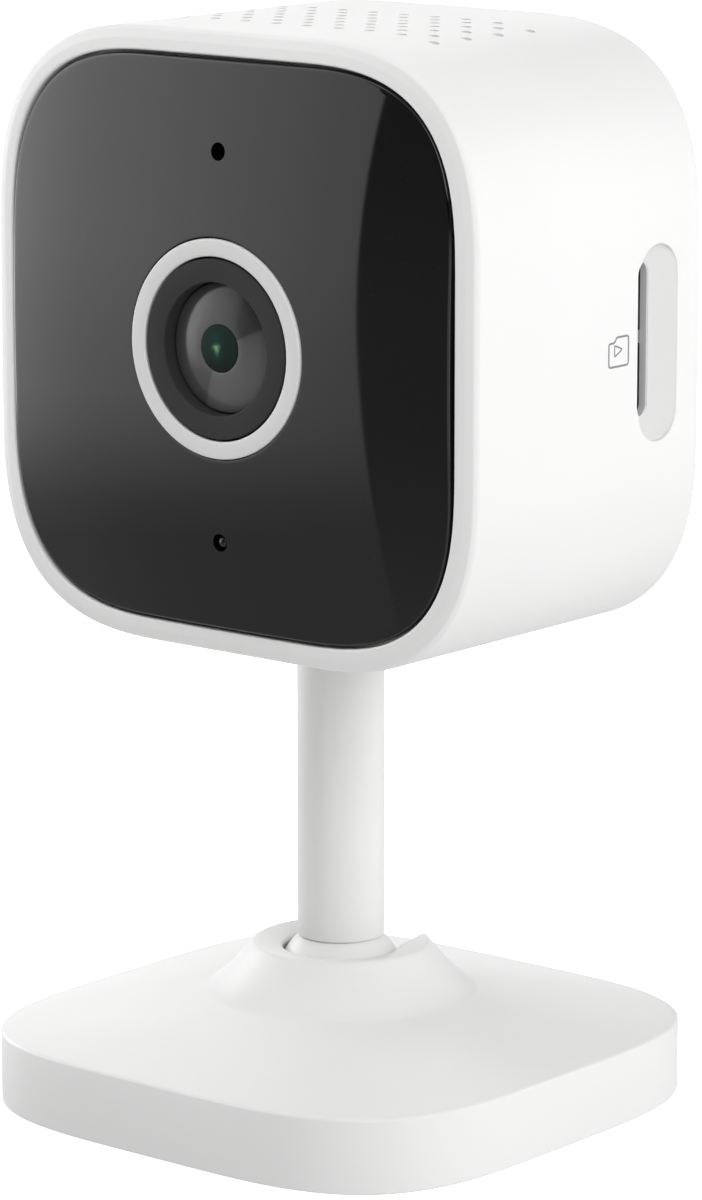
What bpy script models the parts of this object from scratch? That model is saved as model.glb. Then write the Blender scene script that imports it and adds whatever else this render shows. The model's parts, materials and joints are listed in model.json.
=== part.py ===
"""Indoor security camera: a rounded cube head on a ball-jointed stand.

Sizes are in millimetres and are turned into metres as each mesh is written.
The stand's pieces are modelled with +Z up, from the middle of the foot's underside.
The head's pieces are modelled in the head's own frame, from the head's centre:
x to the viewer's right, y up, z forward out of the lens.
"""

import math

import bmesh
import bpy

MM = 0.001
GAP = 0.3  # between pieces that touch in the real object

# Base
BASE_HALF = 28.84
BASE_CORNER = 25.6
BASE_EXPONENT = 3.36
BASE_EDGE_TOP = 7.87
BASE_WALL = 1.9
EDGE_ROUNDING = 0.4
SKIRT_BOTTOM = 0.3
FOOT_THICKNESS = 0.9
BOTTOM_PLATE_THICKNESS = 1.4
CLAMP_THICKNESS = 0.75
TOP_SLOPE = 0.235  # of the base's top, from its edge up to the collar
CONE_FOOT = 13.6  # radius where the collar's cone meets the base's top
CONE_POWER = 1.4

# Pole and ball joint
POLE_RADIUS = 4.38
POLE_CHAMFER = 0.4
POLE_BORE = 1.7
LIP_RADIUS = POLE_RADIUS + 1.47  # leaves the pole room to lean
BALL_RADIUS = LIP_RADIUS + 0.55
SOCKET_RADIUS = BALL_RADIUS + GAP + 0.05
COLLAR_RADIUS = BALL_RADIUS + 2.35
COLLAR_RISE = 4.15  # of the collar's top above the ball's centre
CRESCENT = 0.7  # flat width of the collar's top
BORE_BOSS_RADIUS = SOCKET_RADIUS + 2.25
UNDERSIDE_DROP = 4.0  # of the underside around the bore below the ball's centre
CUP_THICKNESS = 0.5
CUP_ANGLES = (126.0, 150.0)  # down from the pole, in degrees
SEAT_LIP = 0.55
SPRING_WIRE = 0.3
SPRING_WAVE = 0.2
FOLD_LIMIT = 75.0
NOTCH_CLEARANCE = 0.52
BASE_SCREW_CIRCLE = 13.0
CLAMP_OUTER = 15.6

# Head
HEAD_BOTTOM = 48.0
HEAD_HALF = 30.0
HEAD_CENTRE = HEAD_BOTTOM + HEAD_HALF
HEAD_CORNER = 21.15
HEAD_EXPONENT = 2.75
HEAD_REAR = 18.5
HEAD_CREASE = 16.63  # where the front meets the sides
HEAD_WALL = 1.8
POLE_TOP = HEAD_BOTTOM + 9.6

# Front panel
BEZEL_WIDTH = 2.35
PANEL_HALF = HEAD_HALF - BEZEL_WIDTH - GAP
PANEL_CORNER = HEAD_CORNER - BEZEL_WIDTH - GAP
PANEL_EXPONENT = 2.86
PANEL_EDGE = HEAD_CREASE + 0.47
PANEL_APEX = PANEL_EDGE + 1.88
PANEL_DOME_RADIUS = 280.0
PANEL_BACK = PANEL_EDGE - 1.4
LEDGE_WIDTH = 2.2
LEDGE_THICKNESS = 1.4
EYE_HEIGHT = 18.8  # of the microphone hole above, and the light below, the lens
EYE_RADIUS = 0.87

# Lens
RING_OUTER = 10.6
RING_INNER = 8.9
RING_FRONT = PANEL_APEX - 0.13
RING_DEPTH = 1.65
WELL_RADIUS = 6.41
WELL_FLANGE = RING_OUTER + 1.9
WELL_DEPTH = 1.45
BARREL_RADIUS = 6.1
BARREL_THREAD_RADIUS = 5.6
BARREL_DOME = 0.75
BARREL_LENGTH = 12.68
PUPIL_RADIUS = 2.34
PUPIL_WALL = 0.8
GLASS_RADIUS = 4.0

# Filter that slides behind the lens between day and night
FILTER_SIDE = 4.2
FILTER_PITCH = 5.2
CARRIER_THICKNESS = 0.8
BARREL_REAR = RING_FRONT - 0.1 - WELL_DEPTH - BARREL_LENGTH
HOLDER_NECK_BACK = BARREL_REAR - 0.5
CARRIER_FRONT = BARREL_REAR - 0.7
SENSOR_BOARD_FRONT = BARREL_REAR - 3.7
BOARD_THICKNESS = 1.0

# Boards and what is on them
FRONT_BOARD_FRONT = PANEL_BACK - 3.0
MAIN_BOARD_FRONT = SENSOR_BOARD_FRONT - 7.6
MAIN_BOARD_THICKNESS = 1.2
MAIN_BOARD_HALF_WIDTH = HEAD_HALF - HEAD_WALL - 4.2
MAIN_BOARD_TOP = HEAD_HALF - 15.0
MAIN_BOARD_BOTTOM = 14.5 - HEAD_HALF
INFRARED_LED_AT = (16.0, 8.0)
POST_AT = (20.0, 11.5)
SHORT_POST_AT = (13.0, 10.0)
POST_RADIUS = 2.0
SHORT_POST_RADIUS = 1.6
REAR_ROW_HEIGHT = -11.5  # power socket and reset button, below the head's centre
BUTTON_OFFSET = 12.0
BUTTON_RADIUS = 2.0
BUTTON_TRAVEL = 0.6
SOCKET_HALF = (3.9, 1.6)
SWITCH_HEIGHT = 3.8

# Rear cover
REAR_COVER_THICKNESS = 1.8
REAR_RECESS = 0.5
BOSS_INSET = 4.3  # from the inner wall's corner, along each side
BOSS_RADIUS = 2.6
BOSS_LENGTH = 12.0

# Card slot in the right side
SLOT_CENTRE = (-9.43, 0.48)  # forward, up
SLOT_SIZE = (2.66, 15.3)
SCOOP_CENTRE = (-11.45, 0.0)
SCOOP_SIZE = (6.06, 19.1)
SCOOP_DEPTH = 1.2
SLOT_WALL = 1.15
CARD_SOCKET_THICKNESS = 1.4

# Speaker and its grille
GRILLE_ROWS = 7
GRILLE_ROW_PITCH = 2.44
GRILLE_STAGGER = 1.93
GRILLE_RADIUS = 0.55
SPEAKER_HALF = (15.0, 7.5)
SPEAKER_DEPTH = 4.5
GASKET_THICKNESS = 1.0

# Screws
SCREW_RADIUS = 1.0
SCREW_HEAD_RADIUS = 2.0
SCREW_CLEARANCE = 0.3

SQUARE_STEPS = 40
ROUND_STEPS = 24
SMALL_STEPS = 12

FINISHES = {
    "white_plastic": ((0.86, 0.86, 0.85), 0.45, 0.0),
    "grey_plastic": ((0.62, 0.62, 0.61), 0.5, 0.0),
    "black_gloss": ((0.012, 0.012, 0.013), 0.08, 0.0),
    "black_plastic": ((0.025, 0.025, 0.026), 0.55, 0.0),
    "black_rubber": ((0.03, 0.03, 0.03), 0.8, 0.0),
    "glass": ((0.7, 0.8, 0.78), 0.03, 0.0),
    "amber_glass": ((0.55, 0.75, 0.7), 0.04, 0.0),
    "circuit_board": ((0.02, 0.12, 0.07), 0.5, 0.0),
    "chip": ((0.03, 0.03, 0.035), 0.45, 0.0),
    "steel": ((0.6, 0.6, 0.6), 0.3, 1.0),
    "aluminium": ((0.75, 0.75, 0.76), 0.4, 1.0),
    "copper": ((0.7, 0.4, 0.25), 0.4, 1.0),
    "foam": ((0.06, 0.06, 0.06), 0.95, 0.0),
}


# ---------------------------------------------------------------- scene


def clear_scene():
    for obj in list(bpy.data.objects):
        bpy.data.objects.remove(obj, do_unlink=True)


def make_finish(name, finish):
    colour, roughness, metallic = FINISHES[finish]
    material = bpy.data.materials.new(f"{name} {finish}")
    material.use_nodes = True
    shader = material.node_tree.nodes["Principled BSDF"]
    shader.inputs["Base Color"].default_value = (*colour, 1.0)
    shader.inputs["Roughness"].default_value = roughness
    shader.inputs["Metallic"].default_value = metallic
    return material


def add_empty(name, location, parent=None, turn_x=0.0):
    empty = bpy.data.objects.new(name, None)
    empty.empty_display_size = 0.01
    empty.parent = parent
    empty.location = [value * MM for value in location]
    empty.rotation_euler = (math.radians(turn_x), 0.0, 0.0)
    bpy.context.scene.collection.objects.link(empty)
    return empty


def add_object(name, bm, parent, location=(0.0, 0.0, 0.0), turn=(0.0, 0.0, 0.0)):
    """Turns a bmesh in millimetres into an object in metres."""
    bmesh.ops.recalc_face_normals(bm, faces=bm.faces)
    bmesh.ops.scale(bm, vec=(MM, MM, MM), verts=bm.verts)
    mesh = bpy.data.meshes.new(name)
    bm.to_mesh(mesh)
    bm.free()
    mesh.shade_smooth()
    mesh.set_sharp_from_angle(angle=math.radians(35.0))
    obj = bpy.data.objects.new(name, mesh)
    obj.parent = parent
    obj.location = [value * MM for value in location]
    obj.rotation_euler = [math.radians(value) for value in turn]
    bpy.context.scene.collection.objects.link(obj)
    return obj


def add_part(name, bm, finish, parent, **place):
    obj = add_object(name, bm, parent, **place)
    obj.data.materials.append(make_finish(name, finish))
    return obj


def combine(target, bm, parent, operation, **place):
    """Joins or cuts the target with a helper, which stays out of the model."""
    helper = add_object(f"{target.name}_helper", bm, parent, **place)
    helper.hide_render = True
    helper.display_type = "WIRE"
    modifier = target.modifiers.new(operation.title(), "BOOLEAN")
    modifier.operation = operation
    modifier.object = helper
    modifier.use_self = False


def cut(target, bm, parent, **place):
    combine(target, bm, parent, "DIFFERENCE", **place)


def join(target, bm, parent, **place):
    combine(target, bm, parent, "UNION", **place)


# ---------------------------------------------------------------- shapes


def square_reach(angle, half, corner, exponent):
    """Distance from the centre to a rounded square's edge, found by bisection."""
    straight = half - corner
    low, high = 0.0, 2.0 * half
    for _ in range(50):
        middle = (low + high) / 2.0
        along = max(middle * abs(math.cos(angle)) - straight, 0.0)
        across = max(middle * abs(math.sin(angle)) - straight, 0.0)
        inside = along**exponent + across**exponent < corner**exponent
        low, high = (middle, high) if inside else (low, middle)
    return low


def square_height(half, corner, exponent, across):
    """Height of a rounded square's top edge at a distance to the side of its middle."""
    share = max(across - (half - corner), 0.0) / corner
    return half - corner + corner * (1.0 - share**exponent) ** (1.0 / exponent)


def square_ring(half, corner, exponent, level, steps=SQUARE_STEPS):
    ring = []
    for step in range(steps):
        angle = 2.0 * math.pi * (step + 0.5) / steps
        reach = square_reach(angle, half, corner, exponent)
        ring.append((reach * math.cos(angle), reach * math.sin(angle), level))
    return ring


def round_ring(radius, level, steps=ROUND_STEPS, centre=(0.0, 0.0)):
    ring = []
    for step in range(steps):
        angle = 2.0 * math.pi * (step + 0.5) / steps
        x = centre[0] + radius * math.cos(angle)
        y = centre[1] + radius * math.sin(angle)
        ring.append((x, y, level))
    return ring


def slot_ring(size, level, centre=(0.0, 0.0), steps=8):
    """An upright slot with round ends."""
    radius = size[0] / 2.0
    reach = size[1] / 2.0 - radius
    ring = []
    for end in (1.0, -1.0):
        for step in range(steps + 1):
            angle = math.pi * step / steps + (0.0 if end > 0 else math.pi)
            x = centre[0] + radius * math.cos(angle)
            y = centre[1] + end * reach + radius * math.sin(angle)
            ring.append((x, y, level))
    return ring


def loft(rings, closed=False, into=None):
    """Skins rings of equal count; a closed loft joins the last ring to the first."""
    bm = into or bmesh.new()
    loops = [[bm.verts.new(point) for point in ring] for ring in rings]
    pairs = list(zip(loops, loops[1:]))
    if closed:
        pairs.append((loops[-1], loops[0]))
    else:
        bm.faces.new(reversed(loops[0]))
        bm.faces.new(loops[-1])
    for below, above in pairs:
        for i, corner in enumerate(below):
            j = (i + 1) % len(below)
            bm.faces.new((corner, below[j], above[j], above[i]))
    return bm


def tube(profile, steps=ROUND_STEPS, into=None):
    """A turned ring: its profile of (radius, level) closes on itself."""
    return loft([round_ring(r, z, steps) for r, z in profile], closed=True, into=into)


def turned(profile, steps=ROUND_STEPS, centre=(0.0, 0.0), into=None):
    """A turned solid: its profile runs from the bottom face to the top face."""
    return loft([round_ring(r, z, steps, centre) for r, z in profile], into=into)


def cylinder(radius, low, high, steps=SMALL_STEPS, centre=(0.0, 0.0), into=None):
    return turned([(radius, low), (radius, high)], steps, centre, into)


def box(low, high, into=None):
    corners = [(low[0], low[1]), (high[0], low[1]), (high[0], high[1]), (low[0], high[1])]
    return loft([[(x, y, z) for x, y in corners] for z in (low[2], high[2])], into=into)


def centred_box(half_x, half_y, low, high, centre=(0.0, 0.0), into=None):
    x, y = centre
    return box((x - half_x, y - half_y, low), (x + half_x, y + half_y, high), into)


def sphere_arc(radius, centre_level, first, last, steps):
    """Profile points on a sphere, at angles measured down from its top."""
    points = []
    for step in range(steps + 1):
        angle = math.radians(first + (last - first) * step / steps)
        points.append((radius * math.sin(angle), centre_level + radius * math.cos(angle)))
    return points


def sphere_angle(radius, at_radius):
    return math.degrees(math.asin(at_radius / radius))


def screw(head_radius, head_depth, shank_radius, length, driver=0.9):
    """A pan-head screw with its head's top at z = 0, pointing down, and a hexagon socket."""
    bm = bmesh.new()
    socket = [round_ring(driver, z, 6) for z in (-0.55 * head_depth, 0.0)]
    rim = [round_ring(0.86 * head_radius, 0.0, 6), round_ring(head_radius, -0.3 * head_depth, 6)]
    under = round_ring(head_radius, -head_depth, 6)
    neck = round_ring(shank_radius, -head_depth, 6)
    tip = [round_ring(shank_radius, 0.8 * shank_radius - length, 6)]
    tip.append(round_ring(0.35 * shank_radius, -length, 6))
    return loft([socket[0], socket[1], *rim, under, neck, *tip], into=bm)


# ---------------------------------------------------------------- stand


def bottom_plate_low():
    return FOOT_THICKNESS + GAP


def bottom_plate_top():
    return bottom_plate_low() + BOTTOM_PLATE_THICKNESS


def clamp_top():
    return bottom_plate_top() + GAP + CLAMP_THICKNESS


def seat_bottom():
    return clamp_top() + 2.0 * GAP + SPRING_WIRE + 2.0 * SPRING_WAVE


def seat_radius():
    return BALL_RADIUS + GAP + CUP_THICKNESS + GAP


def ball_height():
    """The ball sits in its cup and seat, which stand on the spring and the clamp plate."""
    return seat_bottom() + SEAT_LIP - seat_radius() * math.cos(math.radians(CUP_ANGLES[1]))


def collar_top():
    return ball_height() + COLLAR_RISE


def base_top(radius):
    """Height of the base's top: a gentle slope up from the edge, with the collar's cone on it."""
    edge = BASE_HALF - EDGE_ROUNDING
    slope = TOP_SLOPE * (edge - min(radius, edge))
    cone = collar_top() - BASE_EDGE_TOP - TOP_SLOPE * (edge - COLLAR_RADIUS)
    share = max(CONE_FOOT - radius, 0.0) / (CONE_FOOT - COLLAR_RADIUS)
    return BASE_EDGE_TOP + slope + cone * share**CONE_POWER


def base_ring(half, level, squareness=1.0):
    """A ring that is round at squareness 0 and the base's own outline at 1."""
    straight = (BASE_HALF - BASE_CORNER) * squareness
    exponent = 2.0 + (BASE_EXPONENT - 2.0) * squareness
    return square_ring(half, half - straight, exponent, level)


def squareness_at(half):
    inner = 15.0
    share = min(max((half - inner) / (BASE_HALF - inner), 0.0), 1.0)
    return share * share * (3.0 - 2.0 * share)


def build_base_cover(frame):
    under_bore = ball_height() - UNDERSIDE_DROP
    lip_angle = sphere_angle(SOCKET_RADIUS, LIP_RADIUS)
    rings = [base_ring(BASE_HALF, SKIRT_BOTTOM), base_ring(BASE_HALF, BASE_EDGE_TOP - EDGE_ROUNDING)]
    rings.append(base_ring(BASE_HALF - 0.3 * EDGE_ROUNDING, BASE_EDGE_TOP - 0.3 * EDGE_ROUNDING))
    rings.append(base_ring(BASE_HALF - EDGE_ROUNDING, BASE_EDGE_TOP))
    for radius in (23.0, 19.0, 16.0, 13.5, 11.5, 10.0):
        rings.append(base_ring(radius, base_top(radius), squareness_at(radius)))
    rings.append(base_ring(COLLAR_RADIUS, collar_top(), 0.0))
    rings.append(base_ring(COLLAR_RADIUS - CRESCENT, collar_top(), 0.0))
    lip = sphere_arc(SOCKET_RADIUS, ball_height(), lip_angle, 90.0, 3)
    rings.append(base_ring(LIP_RADIUS + 0.15, lip[0][1] + 0.3, 0.0))
    rings += [base_ring(r, z, 0.0) for r, z in lip]
    rings.append(base_ring(SOCKET_RADIUS, seat_bottom() + GAP, 0.0))
    rings.append(base_ring(BORE_BOSS_RADIUS, seat_bottom() + GAP, 0.0))
    rings.append(base_ring(BORE_BOSS_RADIUS, under_bore, 0.0))
    for radius in (16.0, 21.0, BASE_HALF - BASE_WALL):
        under = min(under_bore, base_top(radius) - BASE_WALL)
        rings.append(base_ring(radius, under, squareness_at(radius)))
    rings.append(base_ring(BASE_HALF - BASE_WALL, SKIRT_BOTTOM))
    cover = add_part("base_cover", loft(rings, closed=True), "white_plastic", frame)
    bosses = bmesh.new()
    pilots = bmesh.new()
    for centre in base_screw_places():
        cylinder(BOSS_RADIUS, clamp_top() + GAP, under_bore + 1.0, centre=centre, into=bosses)
        cylinder(SCREW_RADIUS + SCREW_CLEARANCE, 0.0, under_bore + 0.6, centre=centre, into=pilots)
    join(cover, bosses, frame)
    cut(cover, pilots, frame)
    cut_notch(cover, frame)


def cut_notch(cover, frame):
    """Slot in the collar's rear that the pole folds down into."""
    half = POLE_RADIUS + NOTCH_CLEARANCE
    outline = [(half * math.cos(a), half * math.sin(a)) for a in arc_angles(0.0, 180.0, 10)]
    outline += [(-half, -BASE_HALF), (half, -BASE_HALF)]
    rings = [[(x, y, z) for x, y in outline] for z in (0.0, BASE_HALF)]
    cut(cover, loft(rings), frame, location=(0.0, 0.0, ball_height()), turn=(-FOLD_LIMIT, 0.0, 0.0))


def arc_angles(first, last, steps):
    return [math.radians(first + (last - first) * step / steps) for step in range(steps + 1)]


def base_screw_places():
    reach = BASE_SCREW_CIRCLE
    return [(reach * math.cos(a), reach * math.sin(a)) for a in arc_angles(30.0, 270.0, 2)]


def build_foot(frame):
    half = BASE_HALF - BASE_WALL - GAP
    foot = loft([base_ring(half - 0.1, 0.0), base_ring(half, 0.2), base_ring(half, FOOT_THICKNESS)])
    add_part("foot_pad", foot, "black_rubber", frame)
    low, top = bottom_plate_low(), bottom_plate_top()
    plate = loft([base_ring(half, low), base_ring(half, top)])
    plate = add_part("bottom_plate", plate, "grey_plastic", frame)
    holes = bmesh.new()
    for centre in base_screw_places():
        profile = [(SCREW_HEAD_RADIUS + GAP, low - 1.0), (SCREW_HEAD_RADIUS + GAP, low + 0.8)]
        profile += [(SCREW_RADIUS + GAP, low + 0.8), (SCREW_RADIUS + GAP, top + 1.0)]
        turned(profile, SMALL_STEPS, centre, holes)
    cut(plate, holes, frame)


def build_clamp(frame):
    """Plate, spring, seat and cup that press the ball up against the collar's lip."""
    low, top = bottom_plate_top() + GAP, clamp_top()
    plate = tube([(3.0, low), (CLAMP_OUTER, low), (CLAMP_OUTER, top), (3.0, top)])
    plate = add_part("clamp_plate", plate, "steel", frame)
    holes = bmesh.new()
    for centre in base_screw_places():
        cylinder(SCREW_RADIUS + GAP, low - 1.0, top + 1.0, centre=centre, into=holes)
    cut(plate, holes, frame)
    for number, centre in enumerate(base_screw_places(), 1):
        body = screw(SCREW_HEAD_RADIUS, 0.65, SCREW_RADIUS, 6.6)
        place = {"location": (*centre, bottom_plate_low() + 0.1), "turn": (180.0, 0.0, 0.0)}
        add_part(f"base_screw_{number}", body, "steel", frame, **place)
    build_spring(frame, top + GAP)
    outer = SOCKET_RADIUS - GAP - 0.05
    arc = sphere_arc(seat_radius(), ball_height(), CUP_ANGLES[0] - 2.0, CUP_ANGLES[1], 3)
    seat = [*arc, (arc[-1][0], seat_bottom()), (outer, seat_bottom()), (outer, arc[0][1])]
    add_part("ball_seat", tube(seat), "black_plastic", frame)


def build_spring(frame, low):
    """A wave washer with three waves."""
    middle = low + SPRING_WAVE
    inner, outer = 3.6, SOCKET_RADIUS - 0.75
    rings = []
    for radius, lift in ((inner, 0.0), (outer, 0.0), (outer, SPRING_WIRE), (inner, SPRING_WIRE)):
        ring = []
        for x, y, _ in round_ring(radius, 0.0):
            wave = SPRING_WAVE * math.cos(3.0 * math.atan2(y, x))
            ring.append((x, y, middle + lift + wave))
        rings.append(ring)
    add_part("seat_spring", loft(rings, closed=True), "steel", frame)


def build_weight(frame):
    low = bottom_plate_top() + GAP
    inner, outer = CLAMP_OUTER + 0.6, BASE_HALF - BASE_WALL - 1.2
    top = base_top(BASE_HALF - BASE_WALL) - BASE_WALL - GAP - 0.4
    rings = [base_ring(inner, low, 0.0), base_ring(outer, low)]
    rings += [base_ring(outer, top), base_ring(inner, top, 0.0)]
    add_part("base_weight", loft(rings, closed=True), "steel", frame)


def build_ball(lean, fold):
    """The cup leans and the ball folds, both about the ball's centre."""
    cup_inner = BALL_RADIUS + GAP
    cup_outer = cup_inner + CUP_THICKNESS
    cup = sphere_arc(cup_inner, 0.0, *CUP_ANGLES, 3) + sphere_arc(cup_outer, 0.0, *reversed(CUP_ANGLES), 3)
    add_part("friction_cup", tube(cup), "grey_plastic", lean)
    bore = POLE_BORE
    counterbore = bore + 1.2
    top = sphere_angle(BALL_RADIUS, bore)
    bottom = 180.0 - sphere_angle(BALL_RADIUS, counterbore)
    step = -BALL_RADIUS + 2.9
    profile = sphere_arc(BALL_RADIUS, 0.0, top, bottom, 11) + [(counterbore, step), (bore, step)]
    add_part("ball", tube(profile), "white_plastic", fold)
    body = screw(counterbore - GAP, 1.5, bore - GAP, 23.0, 1.2)
    place = {"location": (0.0, 0.0, step - GAP - 1.5), "turn": (180.0, 0.0, 0.0)}
    add_part("ball_screw", body, "steel", fold, **place)


def build_pole(swivel):
    """A bar with a threaded hole in each end, its lower end hollowed to sit on the ball."""
    seat = BALL_RADIUS + GAP
    bore = POLE_BORE
    top = POLE_TOP - ball_height()
    first, last = sphere_angle(seat, bore), sphere_angle(seat, POLE_RADIUS)
    profile = [(bore, 19.5), *sphere_arc(seat, 0.0, first, last, 3)]
    profile += [(POLE_RADIUS, top - POLE_CHAMFER), (POLE_RADIUS - POLE_CHAMFER, top)]
    profile += [(SCREW_RADIUS + GAP, top), (SCREW_RADIUS + GAP, top - 11.0)]
    add_part("pole", turned(profile), "white_plastic", swivel)
    body = screw(2.6, 1.5, SCREW_RADIUS, 12.0, 1.2)
    place = {"location": (0.0, 0.0, top + GAP + 2.1 + GAP + 1.5)}
    add_part("pole_screw", body, "steel", swivel, **place)


# ---------------------------------------------------------------- head


def head_ring(inset, level):
    return square_ring(HEAD_HALF - inset, HEAD_CORNER - inset, HEAD_EXPONENT, level)


def panel_ring(inset, level):
    return square_ring(PANEL_HALF - inset, PANEL_CORNER - inset, PANEL_EXPONENT, level)


def build_housing(front, head):
    """Sides and bezel in one moulding, open at the back."""
    ledge_front = PANEL_BACK - GAP
    ledge_back = ledge_front - LEDGE_THICKNESS
    rings = [head_ring(1.0, -HEAD_REAR), head_ring(0.3, 0.3 - HEAD_REAR), head_ring(0.0, 1.0 - HEAD_REAR)]
    rings += [head_ring(0.0, HEAD_CREASE - 0.75), head_ring(0.15, HEAD_CREASE - 0.3)]
    rings += [head_ring(0.55, HEAD_CREASE + 0.05), head_ring(1.3, PANEL_EDGE - 0.12)]
    rings += [panel_ring(-GAP, PANEL_EDGE), panel_ring(-GAP, ledge_front)]
    rings += [panel_ring(LEDGE_WIDTH, ledge_front), panel_ring(LEDGE_WIDTH, ledge_back)]
    rings += [head_ring(HEAD_WALL, ledge_back), head_ring(HEAD_WALL, -HEAD_REAR)]
    shell = add_part("housing_shell", loft(rings, closed=True), "white_plastic", front)
    cut_grille(shell, head)
    join_cover_bosses(shell, front)
    join_pole_socket(shell, head)
    cut_card_slot(shell, head)


def cut_grille(shell, head):
    """Staggered rows of small holes through the top."""
    holes = bmesh.new()
    for row in range(GRILLE_ROWS):
        count = 10 - row % 2
        y = (row - (GRILLE_ROWS - 1) / 2.0) * GRILLE_ROW_PITCH
        for column in range(count):
            x = (2.0 * column - (count - 1)) * GRILLE_STAGGER
            cylinder(GRILLE_RADIUS, HEAD_HALF - 6.0, HEAD_HALF + 1.0, 6, (x, y), holes)
    cut(shell, holes, head)


def boss_places():
    """Screw places in the four corners, a set way in from the wall's inside."""
    corner = HEAD_CORNER - HEAD_WALL
    reach = HEAD_HALF - HEAD_CORNER + corner * 0.5 ** (1.0 / HEAD_EXPONENT) - BOSS_INSET
    return [(reach * sx, reach * sy) for sx, sy in ((1, 1), (-1, 1), (-1, -1), (1, -1))]


def join_cover_bosses(shell, front):
    """Screw bosses in the corners, each tied to the wall by its outer end."""
    bosses = bmesh.new()
    pilots = bmesh.new()
    rear = REAR_COVER_THICKNESS + REAR_RECESS + GAP - HEAD_REAR
    for x, y in boss_places():
        out = math.atan2(y, x)
        reach = math.hypot(x, y)
        web = reach + math.hypot(BOSS_INSET, BOSS_INSET) - 1.4
        ring = []
        for start, at in ((90.0, reach), (-90.0, web)):
            for angle in arc_angles(start, start + 180.0, 6):
                px = at * math.cos(out) + BOSS_RADIUS * math.cos(out + angle)
                py = at * math.sin(out) + BOSS_RADIUS * math.sin(out + angle)
                ring.append((px, py))
        loft([[(px, py, level) for px, py in ring] for level in (rear, rear + BOSS_LENGTH)], into=bosses)
        pilot_end = rear + BOSS_LENGTH - 2.5
        cylinder(SCREW_RADIUS + SCREW_CLEARANCE, rear - 3.0, pilot_end, centre=(x, y), into=pilots)
    join(shell, bosses, front)
    cut(shell, pilots, front)


def join_pole_socket(shell, head):
    """Blind socket in the head's floor that the pole is screwed up into."""
    floor = -HEAD_HALF
    roof = POLE_TOP - HEAD_CENTRE + GAP
    join(shell, cylinder(POLE_RADIUS + 2.0, floor + 0.9, roof + 2.1, 24), head)
    bore = [(POLE_RADIUS + GAP, floor - 2.0), (POLE_RADIUS + GAP, roof), (SCREW_RADIUS + GAP, roof)]
    bore.append((SCREW_RADIUS + GAP, roof + 4.0))
    cut(shell, turned(bore, 24), head)


def side_ring(ring, x_at):
    """Moves a ring of (forward, up) onto the right side, in the upright head frame."""
    return [(x_at(forward), -forward, up) for forward, up, _ in ring]


def cut_card_slot(shell, head):
    """Finger scoop that deepens towards the slot, and the slot itself."""
    inner_face = HEAD_HALF - SCOOP_DEPTH - SLOT_WALL
    front_edge = SCOOP_CENTRE[0] + SCOOP_SIZE[0] / 2.0
    edge = 0.9
    half_y = SCOOP_SIZE[0] / 2.0 + edge
    half_z = SCOOP_SIZE[1] / 2.0 + 2.0 * edge
    middle = -SCOOP_CENTRE[0]
    low = (inner_face, middle - half_y, -half_z)
    join(shell, box(low, (HEAD_HALF - edge, middle + half_y, half_z)), head)
    scoop = slot_ring(SCOOP_SIZE, 0.0, SCOOP_CENTRE)

    def ramp(forward):
        share = (front_edge - forward) / SCOOP_SIZE[0]
        return HEAD_HALF - SCOOP_DEPTH * (1.0 - 0.85 * share)

    cut(shell, loft([side_ring(scoop, ramp), side_ring(scoop, lambda _: HEAD_HALF + 1.0)]), head)
    slot = slot_ring(SLOT_SIZE, 0.0, SLOT_CENTRE, 6)
    ends = (inner_face - 1.0, HEAD_HALF + 1.0)
    cut(shell, loft([side_ring(slot, lambda _, x=x: x) for x in ends]), head)


def build_rear_cover(front):
    inset = HEAD_WALL + GAP
    low = REAR_RECESS - HEAD_REAR
    top = low + REAR_COVER_THICKNESS
    rings = [head_ring(inset + 0.3, low), head_ring(inset, low + 0.3), head_ring(inset, top)]
    cover = add_part("rear_cover", loft(rings), "white_plastic", front)
    holes = bmesh.new()
    for centre in boss_places():
        profile = [(SCREW_HEAD_RADIUS + GAP, low - 1.0), (SCREW_HEAD_RADIUS + GAP, low + 1.0)]
        profile += [(SCREW_RADIUS + GAP, low + 1.0), (SCREW_RADIUS + GAP, top + 1.0)]
        turned(profile, SMALL_STEPS, centre, holes)
    height = REAR_ROW_HEIGHT
    width, depth = SOCKET_HALF[0] + 0.4, SOCKET_HALF[1] + 0.4
    centred_box(width, depth, low - 1.0, top + 1.0, (0.0, height), holes)
    cylinder(BUTTON_RADIUS + GAP, low - 1.0, top + 1.0, 20, (BUTTON_OFFSET, height), holes)
    cut(cover, holes, front)
    for number, centre in enumerate(boss_places(), 1):
        body = screw(SCREW_HEAD_RADIUS, 0.7, SCREW_RADIUS, 9.0)
        place = {"location": (*centre, low), "turn": (180.0, 0.0, 0.0)}
        add_part(f"cover_screw_{number}", body, "steel", front, **place)


def panel_front(radius):
    """Height of the domed front at a distance from its middle."""
    drop = PANEL_DOME_RADIUS - math.sqrt(PANEL_DOME_RADIUS**2 - radius**2)
    return PANEL_APEX - drop


def build_panel(front):
    """Domed black panel with a hole for the lens and two small eyes."""
    hole = RING_OUTER + GAP
    rings = [round_ring(hole, PANEL_BACK, SQUARE_STEPS), panel_ring(0.0, PANEL_BACK)]
    rings += [panel_ring(0.0, PANEL_EDGE - 0.1), panel_ring(0.35, PANEL_EDGE + 0.22)]
    for inset in (1.2, 8.0):
        ring = panel_ring(inset, 0.0)
        rings.append([(x, y, panel_front(math.hypot(x, y))) for x, y, _ in ring])
    rings.append(round_ring(hole, panel_front(hole), SQUARE_STEPS))
    panel = add_part("front_panel", loft(rings, closed=True), "black_gloss", front)
    eyes = bmesh.new()
    for height in (EYE_HEIGHT, -EYE_HEIGHT):
        cylinder(EYE_RADIUS, PANEL_BACK - 1.0, PANEL_APEX + 1.0, 16, (0.0, height), eyes)
    cut(panel, eyes, front)


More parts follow.
